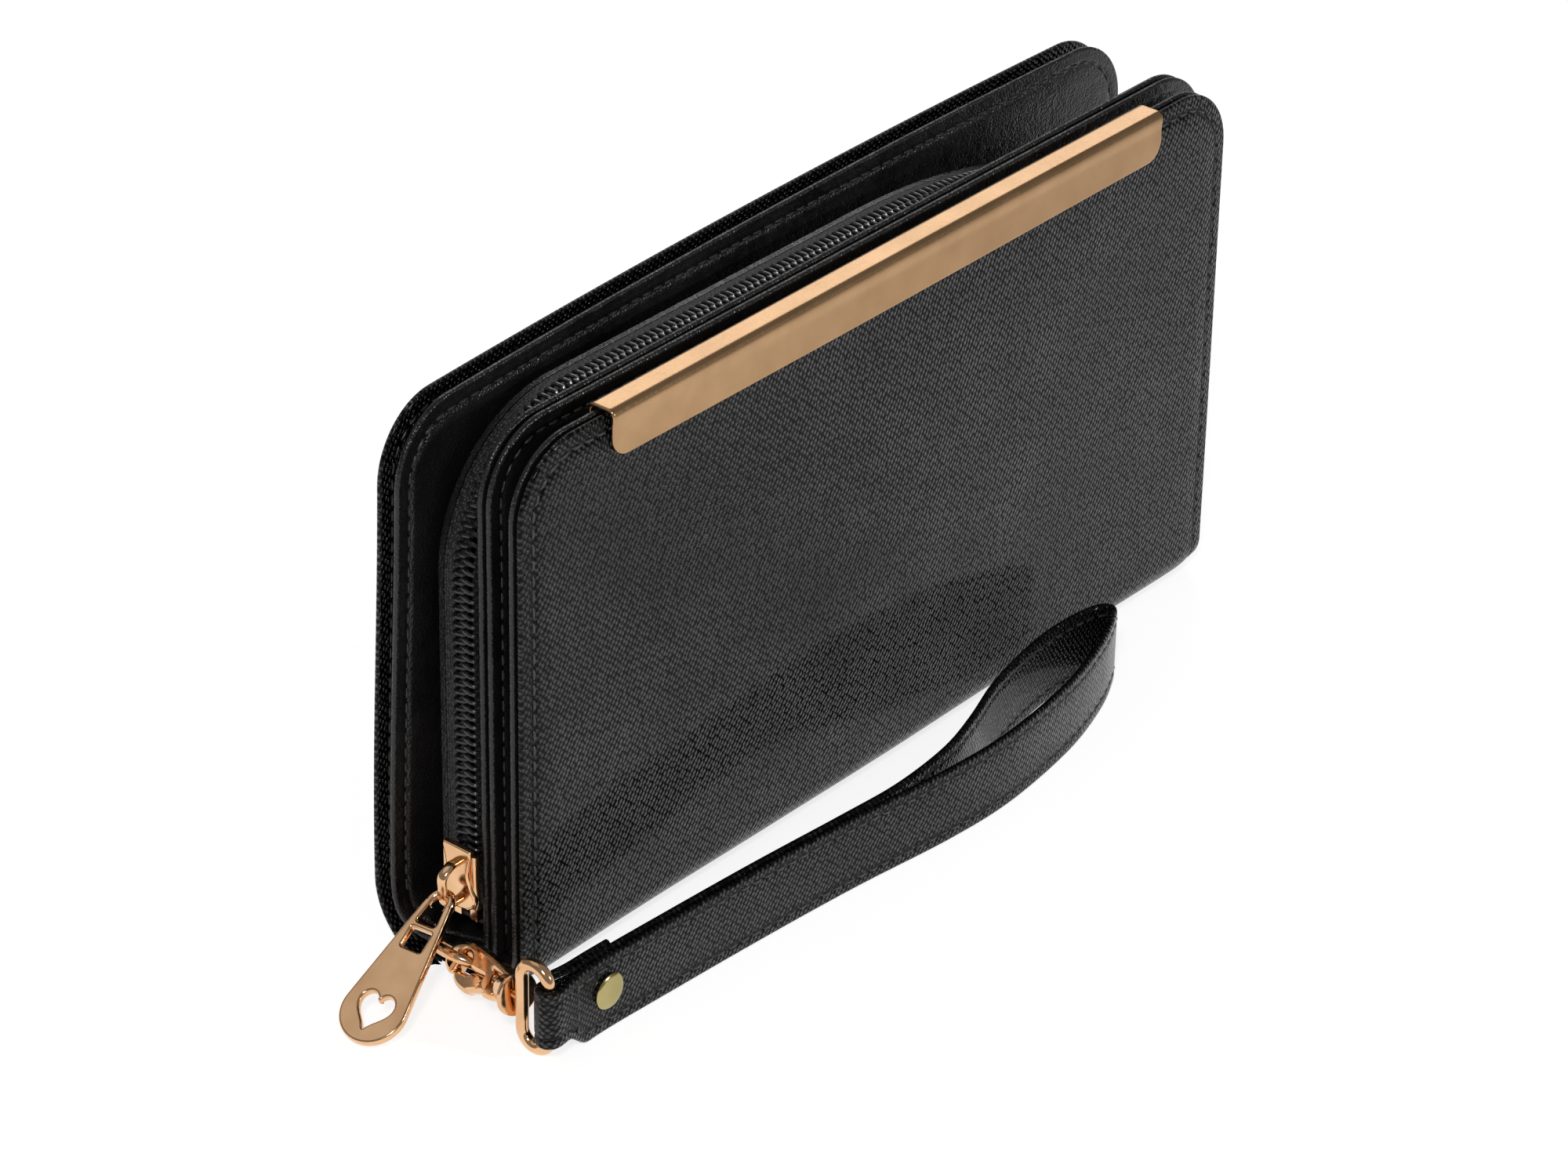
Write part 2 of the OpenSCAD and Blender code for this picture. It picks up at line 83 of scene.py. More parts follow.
# ---- materials ----


class Finish:
    """A procedural material and short ways to add nodes to it."""

    def __init__(self, name):
        self.mat = bpy.data.materials.new(name)
        self.mat.use_nodes = True
        self.tree = self.mat.node_tree
        self.surface = self.tree.nodes["Principled BSDF"]

    def node(self, kind, **inputs):
        made = self.tree.nodes.new(kind)
        for key, value in inputs.items():
            if hasattr(made, key):
                setattr(made, key, value)
            else:
                made.inputs[key.replace("_", " ")].default_value = value
        return made

    def link(self, out, into):
        self.tree.links.new(out, into)

    def coords(self, space, scale, turn=0.0):
        place = self.node("ShaderNodeTexCoord")
        mapping = self.node("ShaderNodeMapping", Scale=scale)
        mapping.inputs["Rotation"].default_value = (0, 0, turn)
        self.link(place.outputs[space], mapping.inputs["Vector"])
        return mapping.outputs["Vector"]

    def noise(self, coords, scale, detail=3.0):
        made = self.node("ShaderNodeTexNoise", Scale=scale, Detail=detail)
        self.link(coords, made.inputs["Vector"])
        return made.outputs["Fac"]

    def ramp(self, value, low, high, into, start=0.3, end=0.7):
        """Spreads a value between two colours or numbers, into a socket."""
        made = self.node("ShaderNodeMapRange")
        made.inputs["From Min"].default_value = start
        made.inputs["From Max"].default_value = end
        if isinstance(low, tuple):
            mix = self.node("ShaderNodeMix", data_type="RGBA")
            mix.inputs["A"].default_value = (*low, 1)
            mix.inputs["B"].default_value = (*high, 1)
            self.link(value, made.inputs["Value"])
            self.link(made.outputs["Result"], mix.inputs["Factor"])
            for out in mix.outputs:
                if out.type == "RGBA":
                    self.link(out, into)
            return made
        made.inputs["To Min"].default_value = low
        made.inputs["To Max"].default_value = high
        self.link(value, made.inputs["Value"])
        self.link(made.outputs["Result"], into)
        return made

    def bump(self, height, depth, strength=1.0, under=None):
        made = self.node("ShaderNodeBump", Strength=strength, Distance=depth)
        self.link(height, made.inputs["Height"])
        if under is not None:
            self.link(under, made.inputs["Normal"])
        return made.outputs["Normal"]

    def set(self, **inputs):
        for key, value in inputs.items():
            self.surface.inputs[key.replace("_", " ")].default_value = value


def pebbled_leather(name, roughness, coat, depth, row=0.9, pitch=1.1):
    """Glossy pressed grain: small raised pebbles in slanted rows, with painted highlight on their tops and
    painted shade between them.
    """
    f = Finish(name)
    mm = 1 / UV_PER_MM
    cells = f.node("ShaderNodeTexVoronoi", Scale=1.0, Randomness=0.3, feature="F1")
    f.link(f.coords("UV", (mm / row, mm / pitch, 1), math.radians(38)), cells.inputs["Vector"])
    pebble = f.node("ShaderNodeMapRange", interpolation_type="SMOOTHSTEP")
    pebble.inputs["From Min"].default_value = 0.62
    pebble.inputs["From Max"].default_value = 0.1
    f.link(cells.outputs["Distance"], pebble.inputs["Value"])
    wide = f.noise(f.coords("UV", (1, 1, 1)), 7.0, 2.0)
    fine = f.noise(f.coords("UV", (mm, mm, 1)), 3.0, 3.0)
    small = f.bump(fine, 0.00003)
    f.link(f.bump(pebble.outputs["Result"], depth, 1.0, small), f.surface.inputs["Normal"])
    # painted highlight and shade: the base colour is lighter on the pebble tops and darker in the valleys
    # between them
    f.ramp(pebble.outputs["Result"], (0.001, 0.001, 0.001), (0.006, 0.0058, 0.0057),
           f.surface.inputs["Base Color"], 0, 1)
    f.ramp(pebble.outputs["Result"], 0.02, 0.5, f.surface.inputs["Specular IOR Level"], 0, 1)
    f.ramp(wide, roughness - 0.05, roughness + 0.07, f.surface.inputs["Roughness"])
    f.set(Coat_Weight=coat, Coat_Roughness=0.1)
    return f.mat


def smooth_leather(name):
    """Lining leather with a fine grain and shallow creases."""
    f = Finish(name)
    coords = f.coords("Object", (1, 1, 1))
    grain = f.node("ShaderNodeTexVoronoi", Scale=1900.0, Randomness=0.9, feature="F1")
    f.link(coords, grain.inputs["Vector"])
    wide = f.noise(coords, 60.0, 2.0)
    crease = f.noise(coords, 420.0, 4.0)
    low = f.bump(crease, 0.0002, 0.8)
    f.link(f.bump(grain.outputs["Distance"], 0.00012, 0.8, low), f.surface.inputs["Normal"])
    f.ramp(wide, (0.004, 0.0037, 0.0037), (0.011, 0.0098, 0.0095), f.surface.inputs["Base Color"])
    f.ramp(crease, 0.22, 0.4, f.surface.inputs["Roughness"])
    f.set(Specular_IOR_Level=0.4)
    return f.mat


def metal(name, dark, light, roughness, ripple):
    """Plated metal that ripples a little where it isn't rolled flat."""
    f = Finish(name)
    coords = f.coords("Object", (1, 1, 1))
    wide = f.noise(coords, 140.0, 2.0)
    fine = f.noise(coords, 1500.0, 3.0)
    f.ramp(wide, dark, light, f.surface.inputs["Base Color"])
    f.ramp(fine, roughness * 0.85, roughness * 1.2, f.surface.inputs["Roughness"])
    f.link(f.bump(wide, 0.00008, ripple), f.surface.inputs["Normal"])
    f.set(Metallic=1.0)
    return f.mat


def woven_cloth(name):
    """Zip tape: woven threads, with painted highlight on their tops and painted shade in the gaps between
    them.
    """
    f = Finish(name)
    mm = 1 / UV_PER_MM
    weave = f.node("ShaderNodeTexVoronoi", Scale=1.0, Randomness=0.55, feature="F1")
    f.link(f.coords("UV", (mm / 0.5, mm / 0.62, 1)), weave.inputs["Vector"])
    fuzz = f.noise(f.coords("UV", (mm, mm, 1)), 4.0, 4.0)
    low = f.bump(fuzz, 0.0001)
    up = f.node("ShaderNodeMath", operation="SUBTRACT")
    up.inputs[0].default_value = 1.0
    f.link(weave.outputs["Distance"], up.inputs[1])
    f.link(f.bump(up.outputs[0], 0.0002, 1.0, low), f.surface.inputs["Normal"])
    # painted highlight and shade: the base colour is pale at the thread tops and dark in the gaps, following
    # the weave's height
    f.ramp(weave.outputs["Distance"], (0.07, 0.066, 0.064), (0.003, 0.003, 0.003),
           f.surface.inputs["Base Color"], 0.05, 0.6)
    f.ramp(fuzz, 0.42, 0.6, f.surface.inputs["Roughness"])
    return f.mat


def nylon(name):
    """Glossy moulded nylon."""
    f = Finish(name)
    coords = f.coords("Object", (1, 1, 1))
    wide = f.noise(coords, 600.0)
    f.ramp(wide, (0.006, 0.006, 0.007), (0.016, 0.015, 0.016), f.surface.inputs["Base Color"])
    f.ramp(wide, 0.16, 0.26, f.surface.inputs["Roughness"])
    return f.mat


def thread(name):
    """Black sewing thread with a fine twist."""
    f = Finish(name)
    coords = f.coords("Object", (1, 1, 1))
    twist = f.noise(coords, 2600.0)
    f.link(f.bump(twist, 0.0001), f.surface.inputs["Normal"])
    f.ramp(twist, (0.012, 0.012, 0.012), (0.035, 0.034, 0.033), f.surface.inputs["Base Color"])
    f.ramp(twist, 0.32, 0.5, f.surface.inputs["Roughness"])
    return f.mat


def cardboard(name):
    """Dull brown stiffening board."""
    f = Finish(name)
    coords = f.coords("Object", (1, 1, 3))
    pulp = f.noise(coords, 500.0, 5.0)
    f.link(f.bump(pulp, 0.0001), f.surface.inputs["Normal"])
    f.ramp(pulp, (0.05, 0.04, 0.032), (0.09, 0.075, 0.06), f.surface.inputs["Base Color"])
    f.ramp(pulp, 0.75, 0.9, f.surface.inputs["Roughness"])
    return f.mat


SAFFIANO = pebbled_leather("saffiano leather", 0.19, 0.16, 0.0006)
STRAP_LEATHER = pebbled_leather("strap leather", 0.15, 0.2, 0.0009, 0.85, 1.0)
LINING = smooth_leather("lining leather")
TRIM_GOLD = metal("trim gold", (0.4, 0.24, 0.12), (0.46, 0.28, 0.145), 0.22, 0.01)
GOLD = metal("gold", (0.72, 0.42, 0.22), (0.86, 0.54, 0.31), 0.14, 0.15)
RIVET_GOLD = metal("rivet gold", (0.36, 0.3, 0.12), (0.46, 0.39, 0.17), 0.2, 0.15)
TAPE = woven_cloth("zip tape")
COIL = nylon("zip coil")
THREAD = thread("sewing thread")
BOARD = cardboard("board")


# ---- meshes ----


class Build:
    """Collects parts of one mesh, in millimetres."""

    def __init__(self):
        self.points, self.faces, self.slots, self.uv = [], [], [], []

    def add(self, points, faces, slot=0, uv=None):
        base = sum(len(p) for p in self.points)
        points = np.asarray(points, float).reshape(-1, 3)
        self.points.append(points)
        self.uv.append(points[:, [0, 2]] if uv is None else np.asarray(uv, float).reshape(-1, 2))
        self.faces += [[i + base for i in face] for face in faces]
        self.slots += [slot] * len(faces)

    def finish(self, name, materials, sharp=35):
        name = name.replace(" ", "_")
        mesh = bpy.data.meshes.new(name)
        points = np.concatenate(self.points)
        mesh.from_pydata((points * MM).tolist(), [], self.faces)
        for m in materials:
            mesh.materials.append(m)
        mesh.polygons.foreach_set("material_index", self.slots)
        corner = np.zeros(len(mesh.loops), int)
        mesh.loops.foreach_get("vertex_index", corner)
        layer = mesh.uv_layers.new(name="UVMap")
        layer.data.foreach_set("uv", (np.concatenate(self.uv)[corner] * UV_PER_MM).ravel())
        mesh.shade_smooth()
        mesh.set_sharp_from_angle(angle=math.radians(sharp))
        mesh.update()
        obj = bpy.data.objects.new(name, mesh)
        bpy.context.scene.collection.objects.link(obj)
        return obj


def quads(rows, cols, close_rows=False, close_cols=False):
    """Faces over a grid of points that runs row by row."""
    out = []
    for i in range(rows if close_rows else rows - 1):
        for j in range(cols if close_cols else cols - 1):
            k, n = (i + 1) % rows, (j + 1) % cols
            out.append([i * cols + j, i * cols + n, k * cols + n, k * cols + j])
    return out


class Path:
    """A line of straights and arcs in a plane, with the side that faces out."""

    def __init__(self, start, heading, side):
        self.parts, self.length, self.side = [], 0.0, side
        self.end, self.heading = np.array(start, float), math.radians(heading)

    def line(self, length):
        return self._go(length, 0.0)

    def arc(self, radius, turn):
        return self._go(radius * abs(math.radians(turn)), math.copysign(1 / radius, turn))

    def _go(self, length, bend):
        self.parts.append((self.length, length, self.end, self.heading, bend))
        self.end, _, self.heading = self._along(self.parts[-1], length)
        self.length += length
        return self

    def _along(self, part, run):
        _, _, start, heading, bend = part
        turned = heading + bend * run
        if bend:
            move = np.array([math.sin(turned) - math.sin(heading),
                             math.cos(heading) - math.cos(turned)]) / bend
        else:
            move = run * np.array([math.cos(heading), math.sin(heading)])
        return start + move, self.side * np.array([-math.sin(turned), math.cos(turned)]), turned

    def at(self, s):
        part = self.parts[0]
        for p in self.parts:
            if s >= p[0]:
                part = p
        point, normal, _ = self._along(part, s - part[0])
        return point, normal

    def stops(self, step, arc_step=8):
        out = []
        for start, length, _, _, bend in self.parts:
            n = math.degrees(length * abs(bend)) / arc_step if bend else length / step
            out += list(start + length * np.arange(max(1, math.ceil(n))) / max(1, math.ceil(n)))
        return out + [self.length]


class Sheet:
    """A skin that follows a path in the YZ plane, with round corners at its far end."""

    def __init__(self, path, x0, x1, thick, corner, edge=0.45, tuck=0.0, groove=0.0,
                 puff=0.0, wave=0.0, warp=None, low_left=0.0, low_right=0.0, low_end=1.0):
        self.path, self.x0, self.x1, self.thick, self.corner = path, x0, x1, thick, corner
        self.edge, self.tuck, self.groove, self.puff, self.wave = edge * thick, tuck, groove, puff, wave
        self.warp, self.low = warp, (low_left, low_right, low_end)

    def ends(self, s):
        up = max(0.0, s - (self.path.length - self.corner))
        cut = self.corner - math.sqrt(max(0.0, self.corner**2 - up**2))
        low = 1 - float(smooth(s / self.low[2]))
        return self.x0 + cut + self.low[0] * low, self.x1 - cut - self.low[1] * low

    def inset(self, x, s):
        """Distance in from the sides and the far edge."""
        r, top = self.corner, self.path.length
        lo, hi = self.ends(min(s, top - r))
        side = min(x - lo, hi - x)
        if s > top - r and side < r:
            return r - math.hypot(r - side, s - (top - r))
        return min(side, top - s)

    def place(self, x, s, n):
        point, normal = self.path.at(s)
        y, z = point + normal * n
        return [x, y + (self.warp(x, z) if self.warp else 0.0), z]

    def faces_at(self, x, s):
        """Height of the outer and the inner face over the path."""
        d = max(0.0, self.inset(x, s))
        drop = self.edge - math.sqrt(max(0.0, self.edge**2 - max(0.0, self.edge - d) ** 2))
        base = -self.tuck * (1 - float(smooth(d / 4.5)))
        out = base - self.groove * math.exp(-(((d - STITCH_IN) / 0.5) ** 2))
        out += self.puff * float(smooth((d - STITCH_IN) / 4))
        if self.wave:
            out += self.wave * noise.noise(Vector((x / 34, s / 27, self.x0))) * float(smooth(d / 12))
        return out - drop, base - self.thick + drop

    def build(self, into, step=3.0, slot=0):
        e = self.edge
        near = [e * (1 - math.cos(a)) for a in np.linspace(0, math.pi / 2, 5)]
        near += list(np.arange(e + 0.3, STITCH_IN - 0.8, 0.5))
        near += list(np.arange(STITCH_IN - 0.7, STITCH_IN + 1.3, 0.22)) + [5.0, 6.5, 9.0]
        near = np.array([v for v in near if v < (self.x1 - self.x0) / 2 - 1])
        top, r = self.path.length, self.corner
        rows = [s for s in self.path.stops(step) if s < top - r - 0.3]
        rows += [top - r + r * math.sin(a) for a in np.linspace(0, math.pi / 2, 40)]
        wide = (self.x1 - self.x0) - 2 * near[-1]
        middle = np.arange(1, max(2, round(wide / step))) / max(2, round(wide / step))
        grid = []
        for s in rows:
            lo, hi = self.ends(s)
            inner = lo + near[-1] + middle * (hi - lo - 2 * near[-1])
            grid.append(np.concatenate([lo + near, inner, hi - near[::-1]]))
        count = len(grid[0])
        outer, inner, uv = [], [], []
        for s, xs in zip(rows, grid):
            for x in xs:
                up, down = self.faces_at(x, s)
                outer.append(self.place(x, s, up))
                inner.append(self.place(x, s, down))
                uv.append((x, s))
        n = len(outer)
        faces = quads(len(rows), count) + [[i + n for i in f][::-1] for f in quads(len(rows), count)]
        rim = [i * count for i in range(len(rows))]
        rim += [(len(rows) - 1) * count + j for j in range(1, count)]
        rim += [i * count + count - 1 for i in range(len(rows) - 2, -1, -1)]
        rim += list(range(count - 2, 0, -1))
        faces += [[a, b, b + n, a + n] for a, b in zip(rim, rim[1:] + rim[:1])]
        into.add(outer + inner, faces, slot, uv + uv)

    def stitches(self, into, start, slot=1, pitch=3.1):
        """A row of stitches round the sides and the far end."""
        d, r, top = STITCH_IN, self.corner, self.path.length
        bend = (r - d) * math.pi / 2
        side = top - r - start
        across = self.x1 - self.x0 - 2 * r
        total = 2 * side + 2 * bend + across

        def spot(u):
            if u > total / 2:
                x, s, a = spot(total - u)
                return self.x0 + self.x1 - x, s, -a
            if u < side:
                return self.x0 + d, start + u, math.pi / 2
            if u < side + bend:
                a = math.pi - (u - side) / (r - d)
                return self.x0 + r + (r - d) * math.cos(a), top - r + (r - d) * math.sin(a), a - math.pi / 2
            return self.x0 + r + u - side - bend, top - d, 0.0

        for k in range(int(total / pitch)):
            x, s, a = spot((k + 0.5) * total / int(total / pitch))
            capsule(into, slot, lambda al, ac, n: self.place(
                x + al * math.cos(a) - ac * math.sin(a), s + al * math.sin(a) + ac * math.cos(a),
                n - 0.6 * self.groove - self.tuck * (1 - float(smooth(d / 4.5)))))


def capsule(into, slot, place, half=1.2, wide=0.3, high=0.24, around=8, rings=6):
    """One stitch, a plump thread that dips into the leather at both ends."""
    points = []
    for i in range(rings + 1):
        a = math.pi * i / rings
        for j in range(around):
            b = 2 * math.pi * j / around
            dip = -0.25 * abs(math.cos(a)) ** 3
            points.append(place(-half * math.cos(a), wide * math.sin(a) ** 0.7 * math.cos(b),
                                dip + high * math.sin(a) ** 0.7 * math.sin(b)))
    into.add(points, quads(rings + 1, around, close_cols=True), slot)


def ring_of(centre, across, up, radius, around, flat=1.0):
    """Points round a centre. Flat squeezes or stretches the circle along up."""
    angles = np.arange(around) * 2 * math.pi / around
    return [centre + radius * (math.cos(a) * across + flat * math.sin(a) * up) for a in angles]


def tube(into, points, radius, around=14, closed=False, slot=0, flat=1.0, up=None):
    """A round wire along points. Radius may be one number or one for each point."""
    points = np.asarray(points, float)
    n = len(points)
    radii = np.full(n, radius) if np.isscalar(radius) else np.asarray(radius, float)
    after, before = np.roll(points, -1, 0), np.roll(points, 1, 0)
    run = after - before
    if not closed:
        run[0], run[-1] = points[1] - points[0], points[-1] - points[-2]
    side = unit(np.cross(run[0], up if up is not None else (0.31, 0.2, 0.93)))
    out = []
    for p, t, r in zip(points, run, radii):
        t = unit(t)
        side = unit(side - t * (side @ t))
        out += ring_of(p, side, np.cross(t, side), r, around, flat)
    faces = quads(n, around, closed, True)
    if not closed:
        faces += [list(range(around))[::-1], [(n - 1) * around + i for i in range(around)]]
    into.add(out, faces, slot)


def lathe(into, origin, axis, profile, around=40, slot=0):
    """A turned shape: profile is (distance along the axis, radius)."""
    axis = unit(axis)
    side = unit(np.cross(axis, (0.2, 0.1, 0.97)))
    up = np.cross(axis, side)
    out = []
    for u, r in profile:
        out += ring_of(np.asarray(origin, float) + u * axis, side, up, max(r, 1e-3), around)
    into.add(out, quads(len(profile), around, close_cols=True), slot)


def rounded(points, radius, steps=5):
    """A closed outline with its corners cut round."""
    out, n = [], len(points)
    for i in range(n):
        a, b, c = (np.array(points[k % n], float) for k in (i - 1, i, i + 1))
        cut = min(radius, np.linalg.norm(a - b) / 2.1, np.linalg.norm(c - b) / 2.1)
        p, q = b + cut * unit(a - b), b + cut * unit(c - b)
        for t in np.linspace(0, 1, steps):
            out.append((1 - t) ** 2 * p + 2 * t * (1 - t) * b + t * t * q)
    return out


def curve_through(points, steps=6, closed=True):
    """A smooth line through points."""
    pts = np.asarray(points, float)
    n = len(pts)
    out = []
    for i in range(n if closed else n - 1):
        near = [(i + k) % n if closed else min(max(i + k, 0), n - 1) for k in (-1, 0, 1, 2)]
        a, b, c, d = pts[near]
        for t in np.arange(steps) / steps:
            out.append(0.5 * (2 * b + (c - a) * t + (2 * a - 5 * b + 4 * c - d) * t * t
                              + (3 * b - a - 3 * c + d) * t**3))
    return out if closed else out + [pts[-1]]


def circle(centre, r, steps=32, start=0.0, end=360.0):
    """Points along a circle or an arc, with its angles in degrees."""
    whole = abs(end - start) >= 360
    angles = np.radians(np.linspace(start, end, steps, endpoint=not whole))
    return [np.array([centre[0] + r * math.cos(a), centre[1] + r * math.sin(a)]) for a in angles]


def plate(into, outlines, thick, bevel, origin, across, along, slot=0):
    """A flat plate with round edges. The first outline is its edge and the others are holes.
    A point (a, b) of an outline is at origin + a * across + b * along."""
    data = bpy.data.curves.new("outline", "CURVE")
    data.dimensions, data.fill_mode = "2D", "BOTH"
    data.extrude, data.bevel_depth, data.bevel_resolution = thick / 2 - bevel, bevel, 3
    data.offset = -bevel
    for outline in outlines:
        spline = data.splines.new("POLY")
        spline.points.add(len(outline) - 1)
        for point, (a, b) in zip(spline.points, outline):
            point.co = (a, b, 0, 1)
        spline.use_cyclic_u = True
    obj = bpy.data.objects.new("outline", data)
    bpy.context.scene.collection.objects.link(obj)
    bpy.context.view_layer.update()
    mesh = bpy.data.meshes.new_from_object(obj.evaluated_get(bpy.context.evaluated_depsgraph_get()))
    across, along = unit(across), unit(along)
    axes = np.array([across, along, np.cross(across, along)])
    points = np.array([v.co for v in mesh.vertices], float) @ axes + np.asarray(origin, float)
    into.add(points, [list(p.vertices) for p in mesh.polygons], slot)
    bpy.data.objects.remove(obj)
    bpy.data.curves.remove(data)
    bpy.data.meshes.remove(mesh)


def ribbon(into, line, low, high, thick, to_world, closed=False, edge=0.5, groove_in=0.0,
           groove=0.15, slot=0):
    """A flat band along a line in its own plane, low to high across it."""
    line = np.asarray(line, float)
    n = len(line)
    run = np.roll(line, -1, 0) - np.roll(line, 1, 0)
    if not closed:
        run[0], run[-1] = line[1] - line[0], line[-1] - line[-2]
    run /= np.linalg.norm(run, axis=1)[:, None]
    side = np.stack([run[:, 1], -run[:, 0]], 1)
    gone = np.concatenate([[0], np.cumsum(np.linalg.norm(np.diff(line, axis=0), axis=1))])
    out, uv, half = [], [], thick / 2
    for i in range(n):
        lo, hi = low(line[i]) if callable(low) else low, high
        near = [edge * (1 - math.cos(a)) for a in np.linspace(0, math.pi / 2, 5)]
        near += [1.0, 1.5, 1.8, 2.0, 2.2, 2.6, 3.2] if groove_in else []
        across = [lo + v for v in near] + [(lo + hi) / 2] + [hi - v for v in near[::-1]]
        face = []
        for w in across:
            d = min(w - lo, hi - w)
            drop = edge - math.sqrt(max(0.0, edge**2 - max(0.0, edge - d) ** 2))
            dip = groove * math.exp(-(((d - groove_in) / 0.35) ** 2)) if groove_in else 0.0
            face.append((w, half - drop - dip))
        for w, h in face + [(w, -h) for w, h in face[::-1]]:
            p = line[i] + side[i] * h
            out.append(to_world(p, w))
            uv.append((gone[i], w))
    cols = len(out) // n
    faces = quads(n, cols, closed, True)
    if not closed:
        faces += [list(range(cols))[::-1], [(n - 1) * cols + i for i in range(cols)]]
    into.add(out, faces, slot, uv)


def piece(obj, body, slot, *nodes):
    """A stiff piece that rides on one body and stands for some CAD nodes."""
    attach(obj, body)
    if nodes:
        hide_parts(*nodes)
    return obj


def bending(obj, body, slot, start, end, *nodes):
    """A skin kept where it was built, its transform baked, that stands for some CAD nodes; it does not bend.
    Its body and its two points in millimetres are not used.
    """
    Vector(start) * MM
    Vector(end) * MM
    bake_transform(obj)
    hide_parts(*nodes)
    return obj


# ---- sizes from the CAD frame ----

SPINE_LO, SPINE_HI = box("spine_cover")
FRONT_LO, FRONT_HI = box("front_cover_outer")
FRONT_IN = box("front_cover_lining")
BACK_LO, BACK_HI = box("back_cover_outer")
BACK_IN = box("back_cover_lining")
MID_F, MID_B = box("mid_front_panel"), box("mid_back_panel")
TOP = FRONT_HI[2]
CORNER = 14.0
SKIN_T = 1.2
PADDED = dict(tuck=0.45, groove=0.32, puff=0.22, wave=0.35)
FRONT_LEAN, FRONT_SWELL = 0.5, 2.2
FOLD_F, FOLD_B = FRONT_LO[2], BACK_LO[2]
FLOOR = box("front_section_floor")[1][2]


def front_bow(x, z):
    """The front cover leans a little, more at its right end, and its middle swells."""
    up = min(max((z - FOLD_F) / (TOP - FOLD_F), 0.0), 1.0)
    swell = FRONT_SWELL * math.sin(math.pi * up) * math.cos(math.radians(x * 0.85)) ** 2
    return FRONT_LEAN * math.sin((x + 60) / 70) * float(smooth(up)) - swell


def back_bow(x, z):
    """The back cover bows out to the right of the middle."""
    lift = 1.7 + 0.0215 * x - 0.000255 * x * x
    return lift * float(smooth((z - FOLD_B) / (TOP - FOLD_B)))


def front_path():
    """Out along the spine's underside, round the fold and up the front cover."""
    return Path((SPINE_LO[1], SPINE_LO[2]), 180, 1).arc(FOLD_F, -90).line(TOP - FOLD_F)


def back_path():
    """The same for the back cover."""
    return (Path((SPINE_LO[1], SPINE_LO[2]), 0, 1).line(SPINE_HI[1] - SPINE_LO[1])
            .arc(FOLD_B, 90).line(TOP - FOLD_B))


def front_cover():
    sides = FRONT_LO[0], FRONT_HI[0]
    start, end = (0, SPINE_LO[1], 0), (0, FRONT_LO[1], FOLD_F)
    made = Build()
    skin = Sheet(front_path(), *sides, SKIN_T, CORNER, warp=front_bow, **PADDED)
    skin.build(made)
    skin.stitches(made, 3.0)
    bending(made.finish("front skin", [SAFFIANO, THREAD]), "front_cover", "saffiano", start, end,
            "front_cover_outer", "front_fold_skin")

    made = Build()
    inner = FRONT_IN[1][1]
    path = (Path((MID_F[0][1], FLOOR), 180, -1).line(MID_F[0][1] - SPINE_LO[1])
            .arc(SPINE_LO[1] - inner, -90).line(TOP - FOLD_F))
    lining = Sheet(path, *sides, SKIN_T, CORNER, warp=front_bow, low_left=1.5, low_right=0.5,
                   low_end=6, **PADDED)
    lining.build(made)
    lining.stitches(made, 9.0)
    bending(made.finish("front lining", [LINING, THREAD]), "front_cover", "lining",
            (0, SPINE_LO[1], FLOOR), (0, inner, FOLD_F),
            "front_cover_lining", "front_fold_lining", "front_section_floor")


def back_cover():
    sides = BACK_LO[0], BACK_HI[0]
    made = Build()
    skin = Sheet(back_path(), *sides, SKIN_T, CORNER, warp=back_bow, **PADDED)
    skin.build(made)
    skin.stitches(made, 2.0)
    bending(made.finish("back skin", [SAFFIANO, THREAD]), "back_cover", "saffiano",
            (0, SPINE_HI[1], 0), (0, BACK_HI[1], FOLD_B), "back_cover_outer", "back_fold_skin", "spine_cover")

    made = Build()
    inner = BACK_IN[0][1]
    path = (Path((MID_B[1][1], FLOOR), 0, 1).line(SPINE_HI[1] - MID_B[1][1])
            .arc(inner - SPINE_HI[1], 90).line(TOP - FOLD_B))
    lining = Sheet(path, *sides, SKIN_T, CORNER, warp=back_bow, low_left=5.5, low_right=1.5,
                   low_end=16, **PADDED)
    lining.build(made)
    lining.stitches(made, 18.0)
    bending(made.finish("back lining", [LINING, THREAD]), "back_cover", "lining",
            (0, SPINE_HI[1], FLOOR), (0, inner, FOLD_B),
            "back_cover_lining", "back_fold_lining", "back_section_floor")


def cover_boards():
    for side, body, bow in ((1, "front_cover", front_bow), (-1, "back_cover", back_bow)):
        node = f"{body}_board"
        lo, hi = box(node)
        made = Build()
        path = Path((lo[1] if side > 0 else hi[1], lo[2]), 90, side).line(hi[2] - lo[2])
        Sheet(path, lo[0], hi[0], hi[1] - lo[1] - 0.1, CORNER - 3, warp=bow).build(made, 6.0)
        piece(made.finish(f"{body} board", [BOARD]), body, "board", node)


def middle():
    looks = dict(tuck=0.15, groove=0.3, puff=0.15, wave=0.25)
    for node, side in (("mid_front_panel", 1), ("mid_back_panel", -1)):
        lo, hi = box(node)
        made = Build()
        path = Path((lo[1] if side > 0 else hi[1], lo[2]), 90, side).line(hi[2] - lo[2])
        panel = Sheet(path, lo[0], hi[0], hi[1] - lo[1], CORNER, edge=0.48, **looks)
        panel.build(made)
        if side > 0:
            panel.stitches(made, 4.0)
        materials = [LINING, THREAD] if side > 0 else [LINING]
        piece(made.finish(node, materials), "root", "lining", node)


